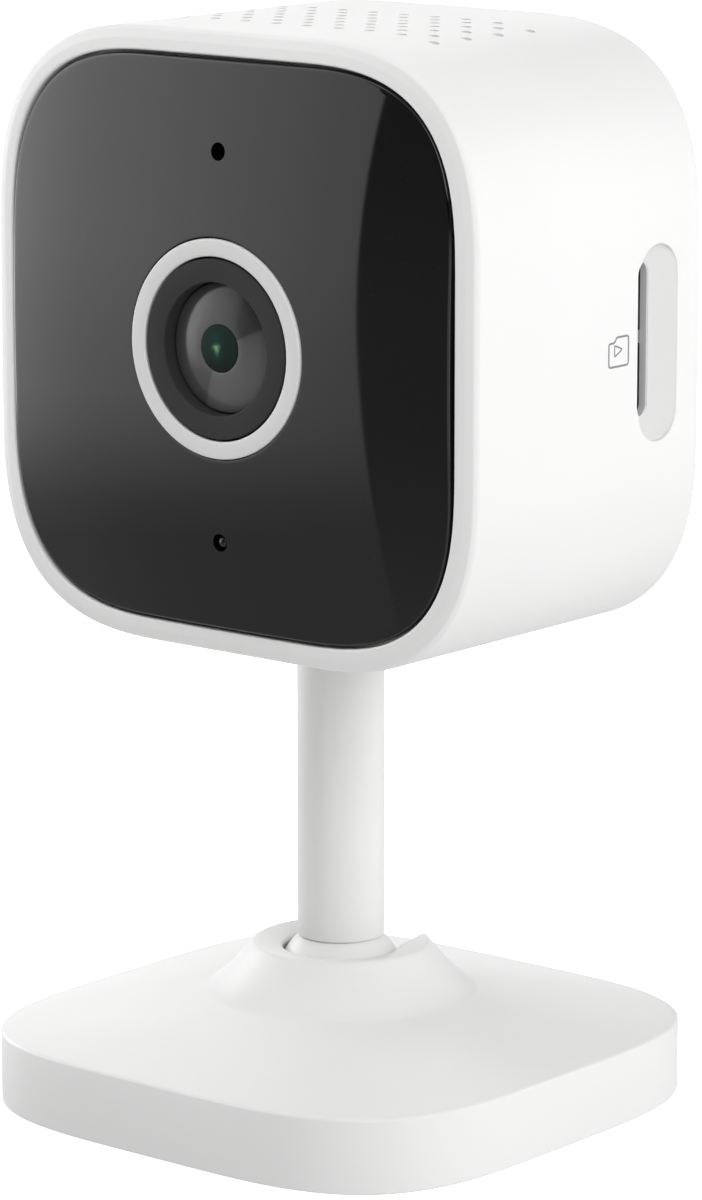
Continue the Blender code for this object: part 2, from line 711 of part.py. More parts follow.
def build_lens_front(front):
    """White ring, the dark well inside it and the barrel that looks out of it."""
    ring_back = RING_FRONT - RING_DEPTH
    ring = [(RING_INNER, ring_back), (RING_OUTER, ring_back), (RING_OUTER, RING_FRONT - 0.2)]
    ring += [(RING_OUTER - 0.2, RING_FRONT), (RING_INNER + 0.2, RING_FRONT), (RING_INNER, RING_FRONT - 0.2)]
    add_part("lens_ring", tube(ring, 40), "white_plastic", front)
    well_front = RING_FRONT - 0.1
    step = ring_back - GAP
    flange = PANEL_BACK - GAP
    well = [(WELL_RADIUS, flange - 1.2), (WELL_FLANGE, flange - 1.2), (WELL_FLANGE, flange)]
    well.append((RING_OUTER, flange))
    well += [(RING_OUTER, step), (RING_INNER - GAP, step), (RING_INNER - GAP, well_front)]
    well += [(WELL_RADIUS + 0.1, well_front), (WELL_RADIUS, well_front - 0.1)]
    add_part("lens_bezel", tube(well, 40), "black_plastic", front)
    barrel_front = well_front - WELL_DEPTH
    inner = GLASS_RADIUS + GAP
    pupil_front = barrel_front + BARREL_DOME
    halfway = (PUPIL_RADIUS + BARREL_RADIUS) / 2.0
    barrel = [(BARREL_RADIUS, barrel_front), (halfway, barrel_front + 0.7 * BARREL_DOME)]
    barrel += [(PUPIL_RADIUS, pupil_front), (PUPIL_RADIUS, barrel_front - PUPIL_WALL)]
    barrel += [(inner, barrel_front - PUPIL_WALL), (inner, BARREL_REAR)]
    barrel.append((BARREL_THREAD_RADIUS, BARREL_REAR))
    barrel += [(BARREL_THREAD_RADIUS, barrel_front - 3.6), (BARREL_RADIUS, barrel_front - 3.6)]
    add_part("lens_barrel", tube(barrel), "black_plastic", front)
    return barrel_front - PUPIL_WALL - GAP


def lens_profile(back, front_level, back_bulge, front_bulge):
    """A lens element: edge faces at the given levels, each side bulging by its own amount."""
    profile = []
    for share in (0.15, 0.6, 1.0):
        profile.append((GLASS_RADIUS * share, back - back_bulge * (1.0 - share**2)))
    for share in (1.0, 0.6, 0.15):
        profile.append((GLASS_RADIUS * share, front_level + front_bulge * (1.0 - share**2)))
    return profile


def build_lens_stack(front, apex):
    add_part("front_lens", turned(lens_profile(apex - 2.2, apex - 0.9, 0.0, 0.9), 24), "glass", front)
    level = apex - 2.2 - GAP
    add_part("middle_lens", turned(lens_profile(level - 1.8, level - 0.8, 0.3, 0.0), 24), "glass", front)
    level -= 2.1 + GAP
    spacer = [(3.2, level - 2.4), (GLASS_RADIUS, level - 2.4), (GLASS_RADIUS, level), (3.2, level)]
    add_part("lens_spacer", tube(spacer, 24), "black_plastic", front)
    level -= 2.4 + GAP
    add_part("rear_lens", turned(lens_profile(level - 1.6, level - 0.7, 0.4, 0.0), 24), "glass", front)


def build_lens_holder(front):
    """Threaded mount over the sensor, with the chamber that the filter slides in."""
    reach = GLASS_RADIUS + 1.9
    back = SENSOR_BOARD_FRONT + GAP
    shoulder = BARREL_REAR + GAP
    holder = centred_box(9.8, 5.4, back, shoulder)
    holder = add_part("lens_holder", holder, "black_plastic", front)
    join(holder, cylinder(7.6, HOLDER_NECK_BACK, 11.0, 24), front)
    chamber = centred_box(8.6, 4.2, back - 1.0, BARREL_REAR - 0.3)
    cut(holder, chamber, front)
    cut(holder, cylinder(reach, BARREL_REAR - 1.0, 12.0, 24), front)


def build_filter(slider):
    """Two filters side by side in a frame; one pitch of travel swaps them."""
    front, back = 0.0, -CARRIER_THICKNESS
    frame = centred_box(5.5, 3.5, back, front)
    frame = add_part("filter_carrier", frame, "black_plastic", slider)
    windows = bmesh.new()
    half = FILTER_SIDE / 2.0
    for side in (-1.0, 1.0):
        centre = (side * FILTER_PITCH / 2.0, 0.0)
        centred_box(half + 0.2, half + 0.2, back - 1.0, front + 1.0, centre, windows)
    cut(frame, windows, slider)
    for name, side in (("ir_cut_filter", -1.0), ("clear_filter", 1.0)):
        centre = (side * FILTER_PITCH / 2.0, 0.0)
        pane = centred_box(half, half, back + 0.2, front - 0.2, centre)
        add_part(name, pane, "amber_glass" if side < 0 else "glass", slider)


def build_sensor_board(front):
    face = SENSOR_BOARD_FRONT
    board = centred_box(16.0, 12.0, face - BOARD_THICKNESS, face)
    add_part("sensor_board", board, "circuit_board", front)
    sensor = centred_box(2.8, 2.2, face + GAP, face + GAP + 0.8)
    add_part("image_sensor", sensor, "chip", front)
    coil_top = HOLDER_NECK_BACK - GAP
    coil = centred_box(4.0, 1.5, SENSOR_BOARD_FRONT + GAP, coil_top, (0.0, 5.4 + GAP + 1.5))
    add_part("filter_actuator", coil, "copper", front)


def post_places():
    x, y = POST_AT
    return [(-x, y), (x, -y)]


def short_post_places():
    x, y = SHORT_POST_AT
    return [(-x, -y), (x, y)]


def build_bracket(front):
    """Plate behind the panel that carries the boards on posts."""
    top = PANEL_BACK - GAP
    low = top - 1.2
    rings = [panel_ring(LEDGE_WIDTH + GAP, low), panel_ring(LEDGE_WIDTH + GAP, top)]
    bracket = add_part("front_bracket", loft(rings), "black_plastic", front)
    holes = bmesh.new()
    cylinder(WELL_FLANGE + GAP, low - 1.0, top + 1.0, 32, into=holes)
    for centre in infrared_led_places():
        cylinder(2.0, low - 1.0, top + 1.0, centre=centre, into=holes)
    cylinder(2.9, low - 1.0, top + 1.0, centre=(0.0, EYE_HEIGHT), into=holes)
    cylinder(EYE_RADIUS, low - 1.0, top + 1.0, centre=(0.0, -EYE_HEIGHT), into=holes)
    posts = bmesh.new()
    pilots = bmesh.new()
    for centre in post_places():
        cylinder(POST_RADIUS, MAIN_BOARD_FRONT + GAP, low + 0.6, centre=centre, into=posts)
        cylinder(0.9, MAIN_BOARD_FRONT - 1.0, MAIN_BOARD_FRONT + 8.0, centre=centre, into=pilots)
    for centre in short_post_places():
        cylinder(SHORT_POST_RADIUS, SENSOR_BOARD_FRONT + GAP, low + 0.6, centre=centre, into=posts)
    cut(bracket, holes, front)
    join(bracket, posts, front)
    cut(bracket, pilots, front)


def infrared_led_places():
    x, y = INFRARED_LED_AT
    return [(x, y), (-x, y), (-x, -y), (x, -y)]


def build_front_board(front):
    """Board for the night lights, the microphone and the status light."""
    face = FRONT_BOARD_FRONT
    back = face - BOARD_THICKNESS
    rings = [square_ring(21.5, 12.0, 2.0, level) for level in (back, face)]
    board = add_part("front_board", loft(rings), "circuit_board", front)
    holes = cylinder(8.2, back - 1.0, face + 1.0, 24)
    for centre in (*post_places(), *short_post_places()):
        cylinder(POST_RADIUS + GAP, back - 1.0, face + 1.0, centre=centre, into=holes)
    cut(board, holes, front)
    low = face + GAP
    for number, centre in enumerate(infrared_led_places(), 1):
        profile = [(1.7, low), (1.7, low + 0.6), (1.5, low + 0.6), (1.5, low + 1.4), (1.1, low + 1.9)]
        add_part(f"infrared_led_{number}", turned(profile, SMALL_STEPS, centre), "glass", front)
    mic = centred_box(1.9, 1.5, low, low + 1.1, (0.0, EYE_HEIGHT))
    add_part("microphone", mic, "steel", front)
    boot_low = low + 1.1 + GAP
    boot_top = PANEL_BACK - GAP
    boot = [(0.7, boot_low), (2.6, boot_low), (2.6, boot_top), (0.7, boot_top)]
    add_part("microphone_boot", tube(boot, 16), "black_rubber", front, location=(0.0, EYE_HEIGHT, 0.0))
    light = centred_box(0.8, 0.8, low, low + 0.6, (0.0, -EYE_HEIGHT))
    add_part("status_led", light, "glass", front)
    pipe_low = low + 0.6 + GAP
    pipe_top = panel_front(EYE_HEIGHT) - 0.4
    pipe = cylinder(EYE_RADIUS - GAP, pipe_low, pipe_top, 16, (0.0, -EYE_HEIGHT))
    add_part("light_pipe", pipe, "glass", front)


def build_main_board(front):
    face = MAIN_BOARD_FRONT
    back = face - MAIN_BOARD_THICKNESS
    low = (-MAIN_BOARD_HALF_WIDTH, MAIN_BOARD_BOTTOM, back)
    board = box(low, (MAIN_BOARD_HALF_WIDTH, MAIN_BOARD_TOP, face))
    board = add_part("main_board", board, "circuit_board", front)
    holes = bmesh.new()
    for centre in post_places():
        cylinder(SCREW_RADIUS, back - 1.0, face + 1.0, centre=centre, into=holes)
    cut(board, holes, front)
    for number, centre in enumerate(post_places(), 1):
        body = screw(1.8, 0.9, 0.7, 6.0, 0.7)
        place = {"location": (*centre, back - GAP - 0.9), "turn": (180.0, 0.0, 0.0)}
        add_part(f"board_screw_{number}", body, "steel", front, **place)
    add_part("processor", centred_box(6.0, 6.0, face + GAP, face + GAP + 1.0), "chip", front)
    build_heat_sink(front, face + 2.0 * GAP + 1.0)
    build_card_socket(front, back - GAP)
    build_rear_row(front, back - GAP)


def build_heat_sink(front, low):
    plate = centred_box(11.0, 9.0, low, low + 1.2)
    sink = add_part("heat_sink", plate, "aluminium", front)
    fins = bmesh.new()
    for fin in range(5):
        centred_box(0.5, 9.0, low + 1.0, low + 4.0, (5.0 * (fin - 2), 0.0), fins)
    join(sink, fins, front)


def build_card_socket(front, top):
    """Metal-shelled card socket whose mouth lines up with the slot."""
    height = CARD_SOCKET_THICKNESS
    outer = HEAD_HALF - SCOOP_DEPTH - SLOT_WALL - GAP
    centre = SLOT_CENTRE[1]
    socket = box((12.5, centre - 7.0, top - height), (outer, centre + 7.0, top))
    socket = add_part("card_socket", socket, "steel", front)
    mouth = box((14.0, centre - 5.6, top - height + 0.3), (outer + 1.0, centre + 5.6, top - 0.3))
    cut(socket, mouth, front)


def build_rear_row(front, board_back):
    """Power socket, reset switch and the button that presses it."""
    width, depth = SOCKET_HALF
    height = REAR_ROW_HEIGHT
    mouth = REAR_RECESS + 1.1 - HEAD_REAR
    socket = centred_box(width, depth, mouth, board_back, (0.0, height))
    socket = add_part("power_socket", socket, "steel", front)
    cut(socket, centred_box(width - 0.5, depth - 0.5, mouth - 1.0, mouth + 6.0, (0.0, height)), front)
    tongue = centred_box(width - 1.4, 0.3, mouth + 0.8, mouth + 7.0, (0.0, height))
    join(socket, tongue, front)
    switch = centred_box(3.0, 3.0, board_back - 3.0, board_back, (BUTTON_OFFSET, height))
    switch = add_part("reset_switch", switch, "black_plastic", front)
    tip = board_back - SWITCH_HEIGHT
    join(switch, cylinder(1.5, tip, board_back - 1.0, centre=(BUTTON_OFFSET, height)), front)


def build_button(press):
    """Its flange stops it inside the rear cover. The frame's origin is on its axis."""
    switch_tip = MAIN_BOARD_FRONT - MAIN_BOARD_THICKNESS - GAP - SWITCH_HEIGHT
    end = switch_tip - BUTTON_TRAVEL - GAP
    inner_face = REAR_RECESS + REAR_COVER_THICKNESS - HEAD_REAR
    top = REAR_RECESS + 0.4 - HEAD_REAR
    flange = inner_face + GAP
    profile = [(BUTTON_RADIUS - 0.3, top), (BUTTON_RADIUS, top + 0.3), (BUTTON_RADIUS, flange)]
    profile += [(BUTTON_RADIUS + 0.8, flange), (BUTTON_RADIUS + 0.8, flange + 0.8)]
    profile += [(BUTTON_RADIUS - 0.5, flange + 0.8), (BUTTON_RADIUS - 0.5, end)]
    add_part("reset_button", turned(profile, 20), "grey_plastic", press)


def build_speaker(head):
    """Gasket, basket, cone and magnet under the grille."""
    half_x, half_y = SPEAKER_HALF
    inside = (HEAD_HALF - HEAD_WALL, HEAD_CORNER - HEAD_WALL, HEAD_EXPONENT)
    frame_top = square_height(*inside, half_x) - GASKET_THICKNESS - 2.0 * GAP
    frame_low = frame_top - SPEAKER_DEPTH
    gasket = centred_box(half_x, half_y, frame_top + GAP, frame_top + GAP + GASKET_THICKNESS)
    gasket = add_part("speaker_gasket", gasket, "foam", head)
    opening = centred_box(half_x - 1.6, half_y - 1.4, frame_top - 1.0, frame_top + 4.0)
    cut(gasket, opening, head)
    basket = centred_box(half_x, half_y, frame_low, frame_top)
    basket = add_part("speaker_frame", basket, "black_plastic", head)
    hollow = centred_box(half_x - 1.4, half_y - 1.2, frame_low + 1.0, frame_top + 1.0)
    cut(basket, hollow, head)
    cone = [(1.5, frame_low + 2.3), (5.8, frame_low + 3.4), (5.8, frame_low + 3.8), (1.5, frame_low + 2.7)]
    add_part("speaker_cone", tube(cone, 24), "black_plastic", head)
    magnet_top = frame_low - GAP
    add_part("speaker_magnet", cylinder(6.0, magnet_top - 3.6, magnet_top, 24), "steel", head)


def build_antenna(head):
    wall = HEAD_HALF - HEAD_WALL - GAP
    strip = box((-wall, -6.0, -8.0), (0.4 - wall, 6.0, 8.0))
    add_part("wifi_antenna", strip, "copper", head)


def main():
    clear_scene()
    base = add_empty("base_frame", (0.0, 0.0, 0.0))
    lean = add_empty("lean_pivot", (0.0, 0.0, ball_height()), base)
    fold = add_empty("fold_pivot", (0.0, 0.0, 0.0), lean)
    swivel = add_empty("swivel_pivot", (0.0, 0.0, 0.0), fold)
    head = add_empty("head_frame", (0.0, 0.0, HEAD_CENTRE - ball_height()), swivel)
    front = add_empty("head_front", (0.0, 0.0, 0.0), head, turn_x=90.0)
    slider = add_empty("filter_slide", (FILTER_PITCH / 2.0, 0.0, CARRIER_FRONT), front)
    press = add_empty("button_press", (BUTTON_OFFSET, REAR_ROW_HEIGHT, 0.0), front)

    build_base_cover(base)
    build_foot(base)
    build_clamp(base)
    build_weight(base)
    build_ball(lean, fold)
    build_pole(swivel)

    build_housing(front, head)
    build_rear_cover(front)
    build_panel(front)
    apex = build_lens_front(front)
    build_lens_stack(front, apex)
    build_lens_holder(front)
    build_filter(slider)
    build_sensor_board(front)
    build_bracket(front)
    build_front_board(front)
    build_main_board(front)
    build_button(press)
    build_speaker(head)
    build_antenna(head)


main()
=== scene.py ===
"""Finished look of an indoor security camera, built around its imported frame.

Sizes in the property groups are in metres. The mesh functions work in millimetres and turn
their points into metres as each mesh is made. Head pieces are modelled in the head's own
frame: x to the viewer's right, y up, z forward out of the lens.
"""

import json
import math

import bmesh
import bpy
import numpy as np
from bpy.props import FloatProperty, FloatVectorProperty, IntProperty, PointerProperty
from mathutils import Matrix, Vector


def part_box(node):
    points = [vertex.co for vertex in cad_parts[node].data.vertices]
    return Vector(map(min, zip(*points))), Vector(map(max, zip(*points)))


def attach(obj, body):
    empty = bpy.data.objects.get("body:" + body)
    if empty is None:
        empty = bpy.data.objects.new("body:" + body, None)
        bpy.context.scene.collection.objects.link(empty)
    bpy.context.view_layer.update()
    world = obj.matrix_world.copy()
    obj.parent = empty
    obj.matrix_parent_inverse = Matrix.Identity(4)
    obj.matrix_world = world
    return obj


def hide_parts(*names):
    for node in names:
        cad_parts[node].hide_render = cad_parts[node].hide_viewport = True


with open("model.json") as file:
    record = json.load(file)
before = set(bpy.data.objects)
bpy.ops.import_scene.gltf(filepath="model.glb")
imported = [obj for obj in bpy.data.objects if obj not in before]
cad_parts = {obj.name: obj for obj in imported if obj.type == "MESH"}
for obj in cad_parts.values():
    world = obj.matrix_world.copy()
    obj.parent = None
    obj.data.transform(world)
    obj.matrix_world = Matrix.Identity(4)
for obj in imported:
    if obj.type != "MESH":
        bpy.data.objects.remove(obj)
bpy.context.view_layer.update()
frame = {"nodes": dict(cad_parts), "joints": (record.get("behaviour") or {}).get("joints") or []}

bl_info = {
    "name": "Indoor Security Camera",
    "version": (1, 0, 0),
    "blender": (4, 5, 0),
    "location": "View3D > Sidebar > Camera",
    "description": "Builds the camera's head, lens and stand around its frame",
    "category": "Object",
}

MM = 0.001


# ------------------------------------------------------------------ places read from the frame


def node_box(node):
    """Lowest and highest corner of a frame node, in millimetres."""
    low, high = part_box(node)
    return [value / MM for value in low], [value / MM for value in high]


def joint_height(name):
    return next(joint["pos_m"][2] for joint in frame["joints"] if joint["name"] == name) / MM


SHELL_LOW, SHELL_HIGH = node_box("housing_shell")
HEAD_HALF = SHELL_HIGH[0]
HEAD_CENTRE = (SHELL_LOW[2] + SHELL_HIGH[2]) / 2.0
HEAD_REAR = SHELL_HIGH[1]
BEZEL_FRONT = -SHELL_LOW[1]
PANEL_LOW, PANEL_HIGH = node_box("front_panel")
PANEL_HALF = PANEL_HIGH[0]
PANEL_APEX = -PANEL_LOW[1]
PANEL_BACK = -PANEL_HIGH[1]
RING_LOW, RING_HIGH = node_box("lens_ring")
RING_OUTER = RING_HIGH[0]
RING_FRONT = -RING_LOW[1]
RING_BACK = -RING_HIGH[1]
WELL_LOW, WELL_HIGH = node_box("lens_bezel")
WELL_FLANGE = WELL_HIGH[0]
WELL_FRONT = -WELL_LOW[1]
WELL_BACK = -WELL_HIGH[1]
BARREL_LOW, BARREL_HIGH = node_box("lens_barrel")
BARREL_RADIUS = BARREL_HIGH[0]
BARREL_FRONT = -BARREL_LOW[1]
BARREL_BACK = -BARREL_HIGH[1]
GLASS_LOW, GLASS_HIGH = node_box("front_lens")
GLASS_RADIUS = GLASS_HIGH[0]
COVER_LOW, COVER_HIGH = node_box("rear_cover")
POLE_LOW, POLE_HIGH = node_box("pole")
POLE_RADIUS = POLE_HIGH[0]
BALL_HEIGHT = joint_height("ball_lean")
BALL_RADIUS = node_box("ball")[1][0]
BASE_LOW, BASE_HIGH = node_box("base_cover")
BASE_HALF = BASE_HIGH[0]
COLLAR_TOP = BASE_HIGH[2]
FOOT_LOW, FOOT_HIGH = node_box("foot_pad")
PLATE_LOW, PLATE_HIGH = node_box("bottom_plate")
PIPE_LOW, PIPE_HIGH = node_box("light_pipe")
BUTTON_LOW, BUTTON_HIGH = node_box("reset_button")
SOCKET_LOW, SOCKET_HIGH = node_box("power_socket")
CARD_LOW, CARD_HIGH = node_box("card_socket")
SCREW_LOW, SCREW_HIGH = node_box("cover_screw_1")
SCREW_REACH = (SCREW_LOW[0] + SCREW_HIGH[0]) / 2.0

SCOOP = ((11.45, 0.0), 6.06, 19.1)  # centre (back, up), width and height
SCOOP_DEPTH = 1.2
CARD_SLOT = ((9.43, 0.48), 2.66, 15.3)
SLOT_FLOOR = HEAD_HALF - 0.85  # where the card slot's grey painted shade starts
DEEP_SHADE_FACE = HEAD_HALF - 1.62  # where the black painted deep shade behind it starts
PANEL_STEPS = 256  # points around the front panel
PANEL_ROUNDING = 0.25
EDGE_INSETS = (0.0, 0.02, 0.06, 0.12, 0.19, 0.25, 0.6)  # of the panel's rings near its edge
BACK_FACE, FAR_FROM_EDGE = -1.0, 0.01  # marks in the panel's edge_distance
BUTTON_RADIUS = 2.0
BASE_FLOOR = 5.25  # underside of the ball's socket
EDGE_ROUNDING = 0.4  # of the base's top edge
TOP_SLOPE = 0.235  # of the base's top, up towards the collar
CONE_FOOT = 13.6  # radius where the collar's cone meets the base's top
CONE_POWER = 1.4
ROUND_OUT_TO = 15.0  # radius up to which the base's rings stay round

FRONT_PLACE = Matrix.Translation((0.0, 0.0, HEAD_CENTRE)) @ Matrix.Rotation(math.radians(90.0), 4, "X")
HEAD_PLACE = Matrix.Translation((0.0, 0.0, HEAD_CENTRE))
STAND_PLACE = Matrix.Identity(4)


# ------------------------------------------------------------------ what a user would change


def length(name, description, millimetres):
    return FloatProperty(
        name=name, description=description, default=millimetres * MM, min=0.0, unit="LENGTH", precision=5
    )


def colour(name, description, default):
    return FloatVectorProperty(
        name=name, description=description, default=default, size=3, min=0.0, max=1.0, subtype="COLOR"
    )


class CasingSizes(bpy.types.PropertyGroup):
    corner: length("Corner radius", "How much of each side the head's corners take", 21.15)
    squareness: FloatProperty(
        name="Squareness", description="Exponent of the corner curve; 2 is a circle", default=2.75, min=2.0
    )
    panel_squareness: FloatProperty(
        name="Panel squareness", description="Exponent of the panel's corner curve", default=2.86, min=2.0
    )
    bezel: length("Bezel width", "Width of the white rim around the front panel", 2.35)
    wall: length("Wall", "Thickness of the casing's sides", 1.8)
    rear_edge: length("Rear edge", "Rounding of the casing's rear edge", 1.0)
    dome: length("Dome radius", "Radius of the front panel's gentle dome", 280.0)
    eye_height: length("Eye height", "Height of the microphone hole above the lens", 18.8)
    eye_radius: length("Eye radius", "Radius of the two small holes in the panel", 0.87)


class GrilleSizes(bpy.types.PropertyGroup):
    rows: IntProperty(name="Rows", description="Rows of holes in the top", default=7, min=1)
    columns: IntProperty(name="Columns", description="Places along a row, every other one used", default=19)
    row_pitch: length("Row pitch", "Distance between rows", 2.44)
    stagger: length("Stagger", "Half the distance between holes in a row", 1.93)
    radius: length("Hole radius", "Radius of each hole", 0.55)


class LensSizes(bpy.types.PropertyGroup):
    ring_inner: length("Ring inner radius", "Inside of the white ring around the lens", 8.87)
    well: length("Well radius", "Radius of the dark well that the lens sits in", 6.41)
    pupil: length("Pupil radius", "Radius of the opening in the barrel's face", 2.34)
    dome: length("Dome height", "How far the barrel's face rises towards the pupil", 0.75)


class StandSizes(bpy.types.PropertyGroup):
    corner: length("Base corner radius", "How much of each side the base's corners take", 25.6)
    squareness: FloatProperty(
        name="Squareness", description="Exponent of the base's corner curve", default=3.36, min=2.0
    )
    edge_top: length("Edge height", "Height of the base's top edge", 7.87)
    collar: length("Collar radius", "Radius of the crest around the ball", 8.75)
    lip: length("Lip radius", "Opening that the ball looks out of", 5.85)
    notch: length("Notch half width", "Half the width of the slot for the folded pole", 4.9)
    fold: FloatProperty(
        name="Fold", description="How far the pole folds back", default=math.radians(75.0), subtype="ANGLE"
    )


class FinishColours(bpy.types.PropertyGroup):
    white: colour("White plastic", "Moulded casing and stand", (0.80, 0.80, 0.795))
    grey: colour("Grey plastic", "Hidden plates and the button", (0.45, 0.45, 0.445))
    panel: colour("Front panel", "Polished black panel", (0.004, 0.004, 0.0045))
    black: colour("Black plastic", "Barrel and well", (0.016, 0.016, 0.0165))
    rubber: colour("Rubber", "Foot pad and seals", (0.02, 0.02, 0.021))
    coating: colour("Lens coating", "Tint of the lens's reflection", (0.25, 1.0, 0.72))
    board: colour("Solder mask", "Circuit boards", (0.012, 0.10, 0.055))


GROUPS = {
    "casing_sizes": CasingSizes,
    "grille_sizes": GrilleSizes,
    "lens_sizes": LensSizes,
    "stand_sizes": StandSizes,
    "finish_colours": FinishColours,
}


def sizes(group):
    return getattr(bpy.context.scene, group)


def mm(value):
    return value / MM


# ------------------------------------------------------------------ outlines and profiles


def square_reach(angles, half, corner, exponent):
    """Distance from the centre to a rounded square's edge at each angle, by bisection."""
    along, across = np.abs(np.cos(angles)), np.abs(np.sin(angles))
    low, high = np.zeros_like(angles), np.full_like(angles, 2.0 * half)
    for _ in range(48):
        middle = (low + high) / 2.0
        beyond_x = np.maximum(middle * along - half + corner, 0.0)
        beyond_y = np.maximum(middle * across - half + corner, 0.0)
        inside = beyond_x**exponent + beyond_y**exponent < corner**exponent
        low, high = np.where(inside, middle, low), np.where(inside, high, middle)
    return low


def ring_angles(steps):
    return 2.0 * math.pi * (np.arange(steps) + 0.5) / steps


def square_ring(half, corner, exponent, level, steps):
    angles = ring_angles(steps)
    reach = square_reach(angles, half, corner, exponent)
    return np.stack([reach * np.cos(angles), reach * np.sin(angles), np.full(steps, level)], axis=1)


def round_ring(radius, level, steps, centre=(0.0, 0.0)):
    angles = ring_angles(steps)
    x = centre[0] + radius * np.cos(angles)
    y = centre[1] + radius * np.sin(angles)
    return np.stack([x, y, np.full(steps, level)], axis=1)


def slot_ring(width, tall, level, centre, steps=16):
    """An upright slot with round ends."""
    radius, points = width / 2.0, []
    for end in (0.0, math.pi):
        middle = centre[1] + math.copysign(tall / 2.0 - radius, 1.0 - end)
        for step in range(steps + 1):
            angle = end + math.pi * step / steps
            points.append((centre[0] + radius * math.cos(angle), middle + radius * math.sin(angle), level))
    return np.array(points)


def filleted(corners, closed=True, segments=5):
    """Rounds each (across, level, radius) corner of a profile with an arc."""
    points = []
    for index, (across, level, radius) in enumerate(corners):
        here = Vector((across, level))
        ends = index in (0, len(corners) - 1) and not closed
        if radius == 0.0 or ends:
            points.append((across, level))
            continue
        before = Vector(corners[index - 1][:2]) - here
        after = Vector(corners[(index + 1) % len(corners)][:2]) - here
        half_angle = before.angle(after) / 2.0
        room = min(radius / math.tan(half_angle), 0.49 * before.length, 0.49 * after.length)
        before, after = before.normalized(), after.normalized()
        middle = here + (before + after).normalized() * room / math.cos(half_angle)
        start, end = here + before * room - middle, here + after * room - middle
        turn = math.atan2(start.x * end.y - start.y * end.x, start.dot(end))
        for step in range(segments + 1):
            spoke = Matrix.Rotation(turn * step / segments, 2) @ start
            points.append((middle.x + spoke.x, middle.y + spoke.y))
    return points


def arc(radius, centre_level, first, last, steps):
    """Profile points on a sphere, at angles in degrees measured down from its top."""
    angles = np.radians(np.linspace(first, last, steps + 1))
    return [(radius * math.sin(a), centre_level + radius * math.cos(a)) for a in angles]


def sphere_angle(radius, at_radius):
    return math.degrees(math.asin(at_radius / radius))


# ------------------------------------------------------------------ meshes


def loft(rings, closed=False):
    """Skins rings of equal count. An open loft is capped at both ends."""
    count = len(rings[0])
    points = np.concatenate(rings)
    faces = []
    spans = len(rings) if closed else len(rings) - 1
    for span in range(spans):
        low, high = span * count, ((span + 1) % len(rings)) * count
        for i in range(count):
            j = (i + 1) % count
            faces.append((low + i, low + j, high + j, high + i))
    if not closed:
        faces.append(tuple(reversed(range(count))))
        faces.append(tuple(range(len(points) - count, len(points))))
    return points, faces


def turned(profile, steps=96, closed=True, centre=(0.0, 0.0)):
    return loft([round_ring(r, z, steps, centre) for r, z in profile], closed)


def block(low, high):
    x = (low[0], high[0], high[0], low[0])
    y = (low[1], low[1], high[1], high[1])
    return loft([np.array([(px, py, z) for px, py in zip(x, y)]) for z in (low[2], high[2])])


def merged(*shapes):
    points, faces, start = [], [], 0
    for shape_points, shape_faces in shapes:
        points.append(np.asarray(shape_points))
        faces += [tuple(start + corner for corner in face) for face in shape_faces]
        start += len(shape_points)
    return np.concatenate(points), faces


def make_object(name, shape, place=STAND_PLACE, sharp=32.0):
    """An object at the origin, with its place in its mesh and its faces turned outwards."""
    points, faces = shape
    mesh = bpy.data.meshes.new(name)
    mesh.from_pydata([place @ Vector(point) * MM for point in points], [], faces)
    bm = bmesh.new()
    bm.from_mesh(mesh)
    bmesh.ops.recalc_face_normals(bm, faces=bm.faces)
    bm.to_mesh(mesh)
    bm.free()
    obj = bpy.data.objects.new(name, mesh)
    bpy.context.scene.collection.objects.link(obj)
    smooth(obj, sharp)
    return obj


def smooth(obj, sharp=32.0):
    obj.data.shade_smooth()
    obj.data.set_sharp_from_angle(angle=math.radians(sharp))


def baked(obj):
    """Turns an object and its modifiers into a plain mesh."""
    depsgraph = bpy.context.evaluated_depsgraph_get()
    mesh = bpy.data.meshes.new_from_object(obj.evaluated_get(depsgraph), depsgraph=depsgraph)
    obj.modifiers.clear()
    obj.data = mesh
    mesh.name = obj.name
    return obj


def carve(obj, shape, place, operation="DIFFERENCE"):
    """Cuts a shape out of an object, or joins it on."""
    helper = make_object(f"{obj.name}_helper", shape, place)
    modifier = obj.modifiers.new("Carve", "BOOLEAN")
    modifier.operation = operation
    modifier.solver = "EXACT"
    modifier.object = helper
    baked(obj)
    bpy.data.objects.remove(helper)
    return obj


def soften(obj, width, segments=3, angle=40.0):
    """Rounds the sharp edges of a small block-like piece."""
    bevel = obj.modifiers.new("Rounded edges", "BEVEL")
    bevel.width = width * MM
    bevel.segments = segments
    bevel.limit_method = "ANGLE"
    bevel.angle_limit = math.radians(angle)
    baked(obj)
    smooth(obj)
    return obj


def settle(obj, finish, body, slot, *nodes):
    """Gives a finished piece its material, its body and the frame nodes it stands for."""
    obj.data.materials.clear()
    obj.data.materials.append(FINISHES[finish])
    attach(obj, body)
    if nodes:
        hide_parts(*nodes)
    return obj


def piece(name, shape, place, finish, body, slot, *nodes, sharp=32.0):
    return settle(make_object(name, shape, place, sharp), finish, body, slot, *nodes)


# ------------------------------------------------------------------ nodes and materials


def feed(tree, node, inputs):
    """Gives each input, by name or number, its constant or the socket that feeds it."""
    for key, value in inputs.items():
        if isinstance(value, bpy.types.NodeSocket):
            tree.links.new(value, node.inputs[key])
        else:
            node.inputs[key].default_value = value


def add(tree, kind, inputs=None, **settings):
    node = tree.nodes.new(kind)
    for name, value in settings.items():
        setattr(node, name, value)
    feed(tree, node, inputs or {})
    return node


def principled(name):
    material = bpy.data.materials.new(name)
    material.use_nodes = True
    tree = material.node_tree
    return material, tree, tree.nodes["Principled BSDF"]


